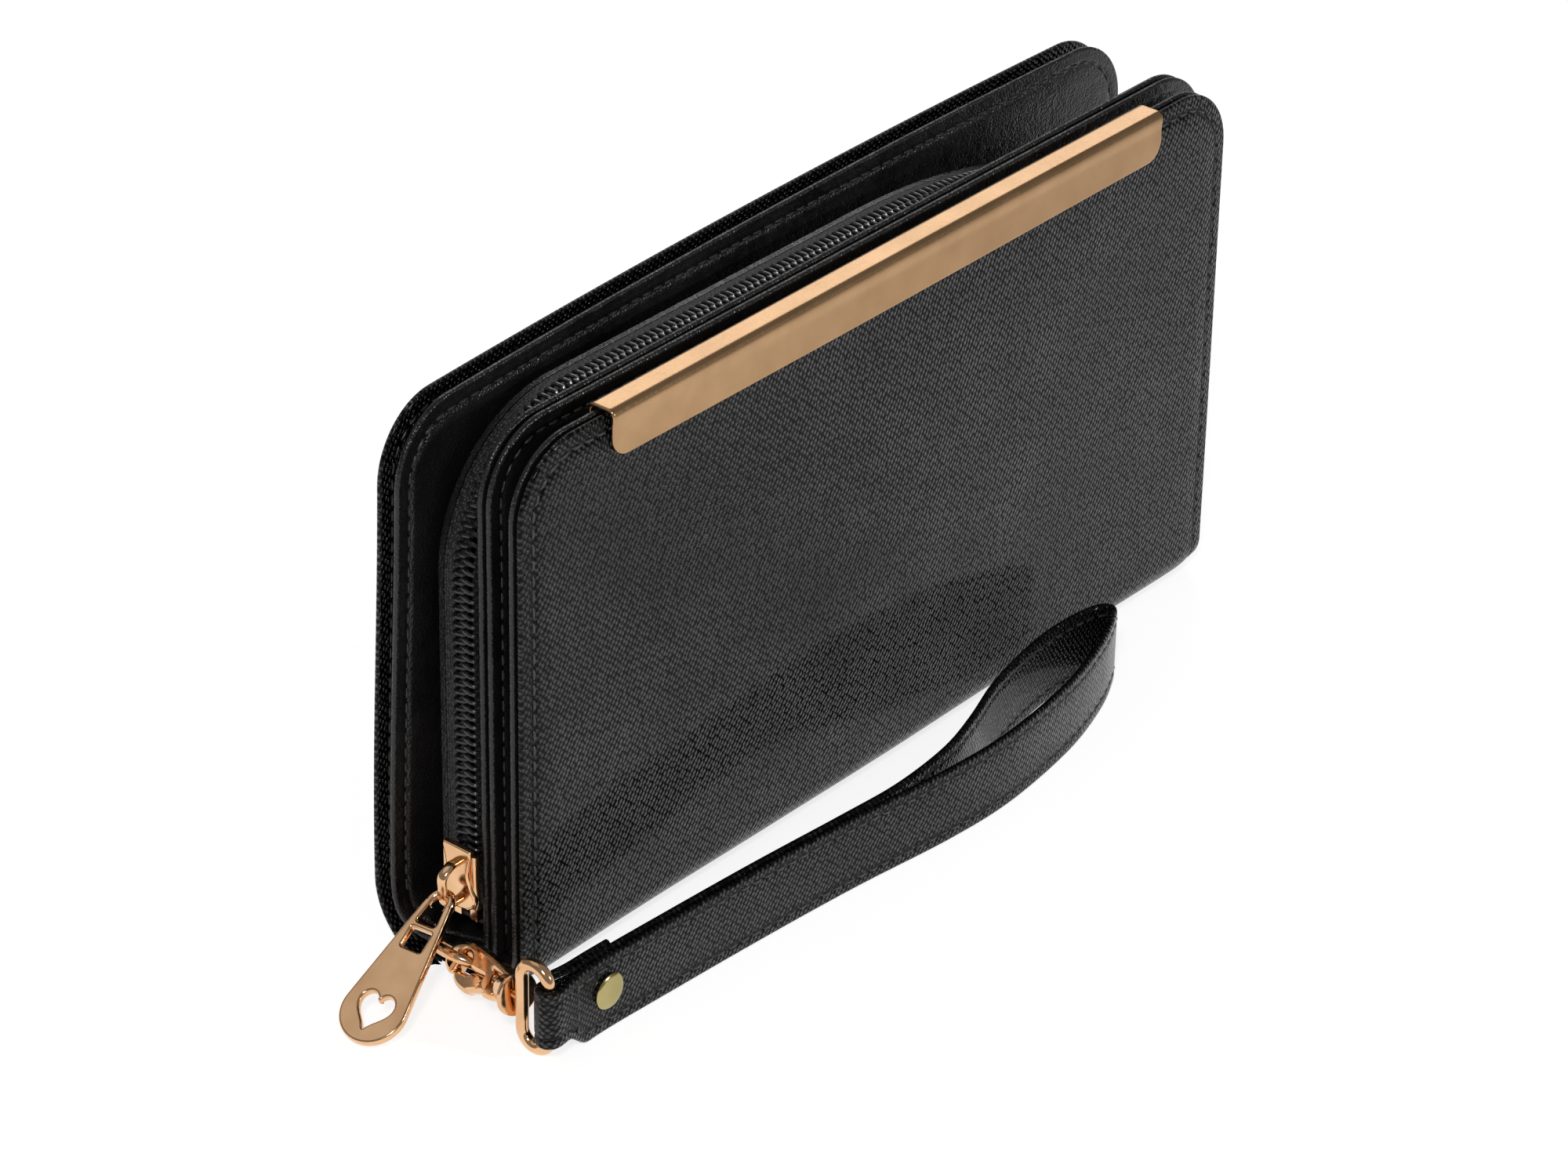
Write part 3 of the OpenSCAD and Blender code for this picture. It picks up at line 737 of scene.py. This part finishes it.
def trim():
    """The metal bar folded over the front cover's top edge, with a lip along its front foot."""
    lo, hi = box("trim_bar")
    bend, lip_height, lip_step = 1.5, 2.6, 0.16
    rear = (hi[2] - lo[2]) / 2
    path = (Path((hi[1], hi[2] - rear), 90, -1).line(rear - bend).arc(bend, 90)
            .line(hi[1] - lo[1] - 2 * bend).arc(bend, 90).line(hi[2] - lo[2] - bend))
    made = Build()
    bar = Sheet(path, lo[0], hi[0], 0.9, 4.0, edge=0.4, warp=front_bow)
    lip = path.length - (hi[2] - lo[2]) + lip_height
    plain = bar.faces_at

    def stepped(x, s):
        up, down = plain(x, s)
        return up - lip_step * float(smooth((s - lip) / 0.5)), down

    bar.faces_at = stepped
    bar.build(made, 0.8)
    piece(made.finish("trim bar", [TRIM_GOLD]), "front_cover", "trim_gold", "trim_bar")


# ---- zip ----

TAPE_F, TAPE_B = box("zip_tape_front"), box("zip_tape_back")
COIL_F, COIL_B = box("zip_coil_front"), box("zip_coil_back")
ZIP_R, ARC_X, ARC_R = 28.0, 15.0, 150.0
ZIP_Y = (COIL_F[1][1] + COIL_B[0][1]) / 2


def zip_route(step, z_start, x_end):
    """Points on the tape's outer face in the XZ plane, evenly spaced."""
    x0, top = TAPE_F[0][0], TAPE_F[1][2]
    centre = (x0 + ZIP_R, top - ZIP_R)
    line = [(x0, z_start)] + circle(centre, ZIP_R, 24, 180, 90)
    drop = math.degrees(math.asin((x_end - ARC_X) / ARC_R))
    line += circle((ARC_X, top - ARC_R), ARC_R, 60, 90, 90 - drop)
    line = np.array([np.asarray(p, float) for p in line])
    gone = np.concatenate([[0], np.cumsum(np.linalg.norm(np.diff(line, axis=0), axis=1))])
    at = np.arange(0, gone[-1], step)
    return np.stack([np.interp(at, gone, line[:, k]) for k in (0, 1)], 1)


def zip_parts():
    made = Build()
    line = zip_route(1.5, TAPE_F[0][2], TAPE_F[1][0])
    for lo, hi in ((TAPE_F[0][1], ZIP_Y - 0.5), (ZIP_Y + 0.5, TAPE_B[1][1])):
        ribbon(made, line, lo, hi, 0.6, lambda p, w: (p[0] + 0.3, w, p[1] - 0.3), edge=0.25)
    piece(made.finish("zip tapes", [TAPE]), "root", "tape", "zip_tape_front", "zip_tape_back")

    made = Build()
    pitch = 1.7
    line = zip_route(pitch / 2, COIL_F[0][2] - 5, COIL_F[1][0])
    height, reach = 2.0, (COIL_B[1][1] - COIL_F[0][1]) / 2
    for k in range(1, len(line) - 1):
        run = unit(line[k + 1] - line[k - 1])
        out = np.array([-run[1], run[0]])
        side = 1 if k % 2 else -1
        # one turn of the coil: up from the outer side of the tape, over, and down at the middle
        turn = [(0.97, 0.05, 0.0), (1.0, 0.5, 0.0), (0.9, 0.82, 0.03), (0.62, 0.97, 0.1),
                (0.3, 0.95, 0.2), (0.02, 0.86, 0.3), (-0.14, 0.6, 0.36), (-0.12, 0.35, 0.38)]
        points = []
        for y, h, slant in turn:
            p = line[k] + out * h * height * 0.86 + run * (slant - 0.15) * pitch * 0.6
            points.append((p[0], ZIP_Y + side * y * (reach - 0.36), p[1]))
        tube(made, points, [0.3, 0.36, 0.4, 0.42, 0.42, 0.44, 0.4, 0.3], around=8)
    piece(made.finish("zip coil", [COIL]), "root", "coil", "zip_coil_front", "zip_coil_back")


# ---- slider and pull ----


def slider():
    lo, hi = box("slider_body")
    mid = [(a + b) / 2 for a, b in zip(lo, hi)]
    half = (hi[2] - lo[2]) / 2
    # round wings at the foot, a waist and a straight top edge
    outline = curve_through([(2.5, -half + 0.25), (4.1, -half + 1.6), (4.3, -half + 3.4), (3.3, -0.9),
                             (2.75, 1.2), (2.9, 3.2), (3.5, half - 1.1)], closed=False)
    outline = [(-y, z) for y, z in outline[::-1]] + [(0, -half)] + outline
    outline = [np.array(p) for p in outline] + [np.array([3.2, half]), np.array([-3.2, half])]
    made = Build()
    plate(made, [outline], 1.6, 0.55, (lo[0] + 0.8, ZIP_Y, mid[2]), (0, -1, 0), (0, 0, 1))
    for side in (-1, 1):
        rail = [(lo[0] + 1.3, ZIP_Y + side * y, mid[2] + z) for y, z in plate_side(half)]
        tube(made, rail, 0.75, up=(1, 0, 0))
    plate(made, [rounded([(-2.8, -half), (2.8, -half), (2.8, half), (-2.8, half)], 1.2)], 1.1, 0.3,
          (hi[0] - 0.55, ZIP_Y, mid[2]), (0, -1, 0), (0, 0, 1))
    plate(made, [rounded([(-0.6, -1.6), (0.6, -1.6), (0.6, 3.4), (-0.6, 3.4)], 0.4)],
          hi[0] - lo[0] - 1.0, 0.1, (mid[0], ZIP_Y, mid[2]), (0, -1, 0), (0, 0, 1))
    blo, bhi = box("slider_bail")
    top, low = bhi[2] - 0.5, blo[2] + 0.5
    arch = curve_through([(bhi[0] + 0.6, top + 0.1), (bhi[0] - 1.6, top), (blo[0] + 0.8, top - 1.4),
                          (blo[0] + 0.75, (top + low) / 2), (blo[0] + 1.0, low + 1.2),
                          (bhi[0] - 1.7, low), (bhi[0] + 0.6, low - 0.1)], 6, False)
    tube(made, [(p[0], ZIP_Y, p[1]) for p in arch], 0.62, up=(0, 1, 0), flat=1.75, around=18)
    piece(made.finish("slider", [GOLD]), "slider", "gold", "slider_body", "slider_bail")


def plate_side(half):
    """The line of the rails that fold back from the slider's front plate."""
    return curve_through([(3.3, -half + 0.8), (3.7, -half + 2.6), (3.45, -half + 5.2), (3.35, 1.4),
                          (3.4, half - 1.2)], 5, False)


def pull():
    hinge, _ = joint("pull_hinge")
    head_r, far_r, length, lean, turn = 2.4, 6.4, 25.0, math.radians(59), math.radians(7)
    neck, window_end, slot_half, slot_start, slot_end = 2.0, 6.9, 2.2, 8, 12.2
    along = np.array([-math.sin(lean) * math.cos(turn), -math.sin(lean) * math.sin(turn), -math.cos(lean)])
    across = unit(np.cross((0, 0, 1), along))
    slope = math.asin((far_r - head_r) / length)

    def half_width(s):
        return (head_r + (far_r - head_r) * s / length) / math.cos(slope)

    edge = [(half_width(s), s) for s in np.linspace(neck, length - 2, 12)]
    end = circle((0, length), far_r, 40, -math.degrees(slope), 180 + math.degrees(slope))
    edge = edge + [tuple(p) for p in end] + [(-w, s) for w, s in edge[::-1]]
    slot = rounded([(-slot_half, slot_start), (slot_half, slot_start), (slot_half, slot_end),
                    (-slot_half, slot_end)], 0.5)
    # a heart with its lobes towards the hinge
    heart = []
    for a in np.linspace(0, 2 * math.pi, 64, endpoint=False):
        lobe = 13 * math.cos(a) - 5 * math.cos(2 * a) - 2 * math.cos(3 * a) - math.cos(4 * a)
        heart.append((3.5 * math.sin(a) ** 3, length - 0.3 - 0.26 * lobe))
    heart = resample(np.array(heart), 0.4, 0.0)
    made = Build()
    plate(made, [edge + head_notch(neck, window_end), slot, heart], 1.7, 0.45, hinge, across, along)
    # the round wire that joins the two arms
    arm = half_width(neck)
    arch = [(arm - 0.75, neck + 1.2), (arm - 0.8, neck - 0.4), (1.35, 0.45), (0.6, 0.02)]
    arch = curve_through(arch + [(-a, b) for a, b in arch[::-1]], 5, False)
    tube(made, [hinge + a * across + b * along for a, b in arch], 0.85, up=along)
    piece(made.finish("zip pull", [GOLD]), "pull", "gold", "pull_tab")


def head_notch(neck, end):
    """The open window at the pull's head, from one arm to the other."""
    corners = [(-1.4, neck), (-2.1, end), (2.1, end), (1.4, neck)]
    return [corners[0]] + rounded_run(corners, 0.8) + [corners[-1]]


def rounded_run(points, radius):
    """The inner corners of an open line, cut round."""
    out = []
    for a, b, c in zip(points, points[1:], points[2:]):
        a, b, c = (np.array(p, float) for p in (a, b, c))
        p, q = b + radius * unit(a - b), b + radius * unit(c - b)
        for t in np.linspace(0, 1, 5):
            out.append(tuple((1 - t) ** 2 * p + 2 * t * (1 - t) * b + t * t * q))
    return out


# ---- ring, snap hook and swivel ring ----

SWIVEL, HOOK_ALONG = joint("strap_swivel")
EYE, _ = joint("clasp_swing")
PIVOT, HOOK_NORMAL = joint("gate_hinge")
HOOK_ACROSS = np.cross(HOOK_NORMAL, HOOK_ALONG)
HOOK_L = float(np.linalg.norm(EYE - SWIVEL))


def at_hook(u, v, n=0.0):
    return SWIVEL + u * HOOK_ALONG + v * HOOK_ACROSS + n * HOOK_NORMAL


def hook_plate(into, outlines, thick, bevel):
    plate(into, outlines, thick, bevel, SWIVEL, HOOK_ALONG, HOOK_ACROSS)


def d_ring():
    centre, _ = joint("ring_hinge")
    lo, hi = box("d_ring")
    wire, tab_gap, tab_half, tab_bend_x = 1.0, 0.06, 0.6, -96
    r = (hi[1] - lo[1]) / 2 - wire
    lean = math.radians(35)
    out = np.array([-math.cos(lean), 0, math.sin(lean)])
    along = np.array([0, 1.0, 0])
    bow = [centre + r * (math.sin(a) * out - math.cos(a) * along)
           for a in np.linspace(math.radians(12), math.radians(168), 40)]
    bar = [centre + y * along for y in np.linspace(r * 0.82, -r * 0.82, 12)]
    made = Build()
    turns = [centre + side * r * along * 0.96 + out * 0.45 for side in (1, -1)]
    line = curve_through(bow[::2] + turns[:1] + bar + turns[1:], 3)
    tube(made, line, wire, closed=True, up=(0.4, 0, 0.9))
    piece(made.finish("d ring", [GOLD]), "ring", "gold", "d_ring")

    tlo, thi = box("ring_tab")
    made = Build()
    r = wire + tab_gap + tab_half
    line = [(thi[0] - 0.2, centre[2] - r)]
    line += [(x, centre[2] - r) for x in np.linspace(tab_bend_x, centre[0] + 0.5, 4)]
    line += [(centre[0] + r * math.cos(a), centre[2] + r * math.sin(a))
             for a in np.radians(np.arange(-90, -390, -15))]
    ribbon(made, line, tlo[1], thi[1], 1.1, lambda p, w: (p[0], w, p[1]), edge=0.4)
    piece(made.finish("ring tab", [LINING]), "root", "lining", "ring_tab")


def clasp():
    made = Build()
    # a leaf: nearly straight on top, full below, with the eye near its tip
    tip, low_from = HOOK_L + 5.6, 13.6
    top = [(7.2, 2.3), (9.5, 3.0), (13, 3.4), (17, 3.6), (HOOK_L, 3.5), (HOOK_L + 2.5, 2.9),
           (HOOK_L + 4.6, 1.6), (tip, -0.4)]
    jaw = [(tip - 0.4, -2.2), (HOOK_L + 3.6, -3.3), (HOOK_L + 2.3, -3.2), (HOOK_L + 1.9, -2.0)]
    inner = [(HOOK_L + 1.6, -0.5), (HOOK_L + 1.25, 1.2), (HOOK_L, 1.75), (HOOK_L - 1.25, 1.2),
             (HOOK_L - 1.7, -0.3)]
    low = [(HOOK_L - 3.0, -0.7), (low_from, -0.7), (13.3, -3.3), (11.5, -3.6), (9.2, -3.0), (7.2, -2.3)]
    outline = curve_through(top + jaw + inner + low, 6)
    window = rounded([(10.2, -1.3), (12.9, -1.3), (12.9, 1.5), (10.2, 1.5)], 0.35)
    hook_plate(made, [outline, window], 3.4, 0.95)
    flare = [(5.5, 0.3), (5.5, 1.25), (5.45, 3.55), (5.6, 4.0), (6.0, 4.15), (6.4, 3.95), (7.0, 3.35),
             (7.8, 2.95), (9.0, 2.8), (9.7, 2.55), (10.1, 1.7), (10.15, 0.2)]
    lathe(made, SWIVEL, HOOK_ALONG, flare)
    lathe(made, PIVOT - 1.65 * HOOK_NORMAL, HOOK_NORMAL,
          [(0, 0), (0, 0.75), (0.12, 0.85), (3.18, 0.85), (3.3, 0.75), (3.3, 0)], 20)
    coil = [at_hook(10.3 + 2.4 * t, 0.95 * math.cos(9 * math.pi * t), 0.95 * math.sin(9 * math.pi * t))
            for t in np.linspace(0, 1, 70)]
    tube(made, coil, 0.2, around=8)
    piece(made.finish("clasp", [GOLD]), "clasp", "gold", "clasp_hook", "gate_pin", "gate_spring")

    made = Build()
    u = float((PIVOT - SWIVEL) @ HOOK_ALONG)
    gate = [(u - 1.4, -2.5), (u - 1.1, -0.95), (u + 0.8, -0.9), (HOOK_L - 2.6, -1.05),
            (HOOK_L - 1.4, -1.9), (HOOK_L + 0.1, -2.1), (HOOK_L + 1.6, -2.4), (HOOK_L + 1.9, -3.6),
            (HOOK_L + 0.2, -4.7), (HOOK_L - 2.6, -5.0), (u + 1.5, -4.5), (u - 0.6, -3.5)]
    hook_plate(made, [curve_through(gate, 6)], 2.8, 0.9)
    piece(made.finish("clasp gate", [GOLD]), "gate", "gold", "clasp_gate")


def swivel():
    lo, hi = box("swivel_ring")
    wire = (hi[0] - lo[0]) / 2
    centre = (lo + hi) / 2
    half_d, bar = (hi[1] - lo[1]) / 2 - wire, (hi[2] - lo[2]) / 2 - wire
    bar -= half_d
    line = [(half_d * math.cos(a), bar + half_d * math.sin(a)) for a in np.linspace(0, math.pi, 20)]
    line += [(-y, -z) for y, z in line]
    full = []
    for a, b in zip(line, line[1:] + line[:1]):
        gap = math.hypot(b[0] - a[0], b[1] - a[1])
        steps = 8 if gap > 2 else 1
        full += [np.array(a) + (np.array(b) - np.array(a)) * k / steps for k in range(steps)]
    made = Build()
    tube(made, [(centre[0], centre[1] + y, centre[2] + z) for y, z in full], wire, closed=True,
         up=(1, 0, 0), around=20)
    lathe(made, SWIVEL, HOOK_ALONG,
          [(half_d, 0.1), (half_d, 1.05), (5.2, 1.0), (6.2, 1.0), (6.3, 1.6), (7.4, 1.6), (7.5, 0.1)], 24)
    piece(made.finish("swivel ring", [GOLD]), "swivel", "gold", "swivel_ring", "swivel_stud")


# ---- wrist strap ----


def strap_line(thick):
    """The strap's middle line, taken from the outer edge of its CAD shape."""
    mesh = frame["nodes"]["wrist_strap"].data
    top = max(v.co.z for v in mesh.vertices)

    def key(i):
        co = mesh.vertices[i].co / MM
        return round(co.x, 2), round(co.y, 2)

    count = {}
    for p in mesh.polygons:
        if all(mesh.vertices[i].co.z > top - 1e-5 for i in p.vertices):
            for i, j in zip(p.vertices, list(p.vertices[1:]) + [p.vertices[0]]):
                a, b = key(i), key(j)
                if a != b:
                    count[frozenset((a, b))] = count.get(frozenset((a, b)), 0) + 1
    beside = {}
    for edge in (e for e, n in count.items() if n == 1):
        a, b = edge
        beside.setdefault(a, []).append(b)
        beside.setdefault(b, []).append(a)
    loops = []
    while beside:
        start = min(beside)
        loop, at = [start], beside.pop(start)[0]
        while at in beside:
            loop.append(at)
            at = next((n for n in beside.pop(at) if n in beside), start)
        loops.append(np.array(loop))
    outer = max(loops, key=lambda l: l[:, 0].max() - l[:, 0].min())
    return resample(outer, 1.0, thick / 2)


def resample(loop, step, inward):
    """The closed loop, evenly spaced, eased and moved inward."""
    closed = np.vstack([loop, loop[:1]])
    gone = np.concatenate([[0], np.cumsum(np.linalg.norm(np.diff(closed, axis=0), axis=1))])
    n = round(gone[-1] / step)
    at = np.arange(n) * gone[-1] / n
    line = np.stack([np.interp(at, gone, closed[:, k]) for k in (0, 1)], 1)
    for _ in range(2):
        line = 0.5 * line + 0.25 * (np.roll(line, 1, 0) + np.roll(line, -1, 0))
    area = np.sum(line[:, 0] * np.roll(line[:, 1], -1) - line[:, 1] * np.roll(line[:, 0], -1))
    run = np.roll(line, -1, 0) - np.roll(line, 1, 0)
    run /= np.linalg.norm(run, axis=1)[:, None]
    normal = np.stack([-run[:, 1], run[:, 0]], 1) * np.sign(area)
    return line + normal * inward


def strap():
    thick, seam_in, pitch, cross_pitch = 1.5, 2.2, 3.0, 2.9
    lo, hi = box("wrist_strap")
    bar = joint("strap_swing")[0]
    line = strap_line(thick)

    def low_edge(p):
        """The lower edge rises towards the ring, where the strap is cut narrower."""
        near = 1 - float(smooth((p[0] - bar[0] - 2.4) / 6.0))
        return lo[2] + 3.7 * near

    made = Build()
    ribbon(made, line, low_edge, hi[2], thick, lambda p, w: (p[0], p[1], w), closed=True,
           edge=0.62, groove_in=seam_in, groove=0.2)
    gone = np.concatenate([[0], np.cumsum(np.linalg.norm(np.diff(line, axis=0), axis=1))])
    for u in np.arange(0, gone[-1], pitch):
        p, q = (np.array([np.interp(at, gone, line[:, k]) for k in (0, 1)]) for at in (u, u + 0.5))
        run = unit(q - p)
        side = np.array([run[1], -run[0]])
        if p[0] < bar[0] + 4:
            continue
        for w in (low_edge(p) + seam_in, hi[2] - seam_in):
            for face in (-1, 1):
                capsule(made, 1, lambda al, ac, n: (
                    *(p + run * al + side * face * (thick / 2 - 0.12 + n)), w + ac), half=1.15)
    # a row of stitches across the outer layer, beside the ring
    x, outer_y = bar[0] + 5.4, -31.9
    y = min(line[np.argmin(np.abs(line[:, 0] - x) + 3 * (line[:, 1] - lo[1] > 3))][1], outer_y)
    for k in range(4):
        z = lo[2] + 3.2 + cross_pitch * k
        capsule(made, 1, lambda al, ac, n: (x + ac, y - thick / 2 + 0.05 - n, z + al + 1.2), half=1.15)
    # the strap's tail, folded back behind the inner layer and held by the rivet
    tail_x = -84
    inner = np.array([p for p in line if p[1] > bar[1] + 0.6 and bar[0] + 3 < p[0] < tail_x])
    inner = inner[np.argsort(inner[:, 0])]
    tail = inner + np.array([0, thick + 0.06])
    ribbon(made, tail, lo[2] + 0.3, hi[2] - 0.1, thick - 0.2, lambda p, w: (p[0], p[1], w), edge=0.5,
           groove_in=seam_in)
    piece(made.finish("wrist strap", [STRAP_LEATHER, THREAD]), "strap", "strap_leather", "wrist_strap")


def rivet():
    rlo, rhi = box("strap_rivet")
    centre = (rlo + rhi) / 2
    r, shank_r = (rhi[0] - rlo[0]) / 2, 1.4
    made = Build()
    dome = [(0, 0), (0.03, r * 0.5), (0.08, r * 0.78), (0.25, r * 0.93), (0.5, r), (0.8, r * 0.99),
            (1.0, r * 0.9)]
    lathe(made, (centre[0], rlo[1] - 0.1, centre[2]), (0, 1, 0), dome)
    lathe(made, (centre[0], rhi[1] + 1.6, centre[2]), (0, -1, 0), dome)
    lathe(made, (centre[0], rlo[1], centre[2]), (0, 1, 0), [(0.4, shank_r), (rhi[1] - rlo[1] + 1.2, shank_r)],
          20)
    piece(made.finish("strap rivet", [RIVET_GOLD]), "strap", "rivet_gold", "strap_rivet")


# ---- CAD pieces shown as they are ----


def carried():
    """Gives the hidden CAD nodes that are shown as they are the same materials as the rest."""
    looks = {"spine_board": BOARD, "mid_board": BOARD, "pouch_back_wall": LINING, "pouch_floor": LINING,
             "pouch_end_gusset": LINING, "zip_top_stops": GOLD, "zip_bottom_stop": GOLD}
    for node, material in looks.items():
        data = frame["nodes"][node].data
        data.materials.clear()
        data.materials.append(material)


front_cover()
back_cover()
cover_boards()
middle()
trim()
zip_parts()
slider()
pull()
d_ring()
clasp()
swivel()
strap()
rivet()
carried()


# ---- floor, lights and camera ----


def stage():
    reach, drop = 4000, 0.0002
    made = Build()
    made.add([(-reach, -reach, 0), (reach, -reach, 0), (reach, reach, 0), (-reach, reach, 0)], [[0, 1, 2, 3]])
    f = Finish("studio floor")
    f.ramp(f.noise(f.coords("Object", (1, 1, 1)), 2.0), (0.33, 0.33, 0.33), (0.36, 0.36, 0.36),
           f.surface.inputs["Base Color"])
    # the table's glow fades in front of the wallet's right half
    away = f.node("ShaderNodeVectorMath", operation="DOT_PRODUCT")
    away.inputs[1].default_value = (0.64, -0.77, 0)
    f.link(f.coords("Object", (1, 1, 1)), away.inputs[0])
    f.ramp(away.outputs["Value"], 0.8, 0.3, f.surface.inputs["Emission Strength"], 0.19, 0.42)
    f.set(Roughness=0.8, Specular_IOR_Level=0.2, Emission_Color=(1, 1, 1, 1))
    floor = made.finish("floor", [f.mat])
    floor.location.z = -drop


def area_light(name, place, aim, size, power, tall=1.0):
    data = bpy.data.lights.new(name, "AREA")
    data.shape, data.size, data.size_y = "RECTANGLE", size, size * tall
    data.energy = power
    obj = bpy.data.objects.new(name, data)
    bpy.context.scene.collection.objects.link(obj)
    obj.location = place
    obj.rotation_euler = (Vector(aim) - Vector(place)).to_track_quat("-Z", "Y").to_euler()


def lights():
    world = bpy.data.worlds.new("studio")
    bpy.context.scene.world = world
    world.use_nodes = True
    tree = world.node_tree
    back = tree.nodes["Background"]
    back.inputs["Color"].default_value = (1, 1, 1, 1)
    shade = tree.nodes.new("ShaderNodeTexNoise")
    shade.inputs["Scale"].default_value = 0.6
    ramp = tree.nodes.new("ShaderNodeMapRange")
    ramp.inputs["To Min"].default_value = 0.16
    ramp.inputs["To Max"].default_value = 0.3
    tree.links.new(shade.outputs["Fac"], ramp.inputs["Value"])
    tree.links.new(ramp.outputs["Result"], back.inputs["Strength"])
    middle = (0, 0, 0.05)
    area_light("key", (-1.6, -1.1, 1.9), middle, 0.35, 26)
    area_light("front", (0.65, -1.9, 0.85), middle, 0.16, 14)
    area_light("back panel", (1.45, 1.2, 1.2), middle, 1.3, 7.5, 0.7)
    area_light("top", (-0.5, 0.9, 1.9), middle, 1.6, 3)


def camera():
    """A long lens at the front left, looking down on the wallet."""
    azimuth, elevation, roll = (math.radians(a) for a in (50.13, 31.0, 1.08))
    forward = Vector((math.sin(azimuth) * math.cos(elevation), math.cos(azimuth) * math.cos(elevation),
                      -math.sin(elevation)))
    right = Vector((math.cos(azimuth), -math.sin(azimuth), 0))
    up = right.cross(forward)
    across = math.cos(roll) * right + math.sin(roll) * up
    above = math.cos(roll) * up - math.sin(roll) * right
    data = bpy.data.cameras.new("camera")
    data.lens = 123.95
    obj = bpy.data.objects.new("camera", data)
    bpy.context.scene.collection.objects.link(obj)
    obj.matrix_world = Matrix.Translation(Vector((-669.5, -549.7, 555.7)) * MM) @ Matrix(
        (across, above, -forward)).transposed().to_4x4()
    data.clip_start, data.clip_end = 0.05, 20
    bpy.context.scene.camera = obj


stage()
lights()
camera()
bpy.context.scene.view_settings.view_transform = "Standard"
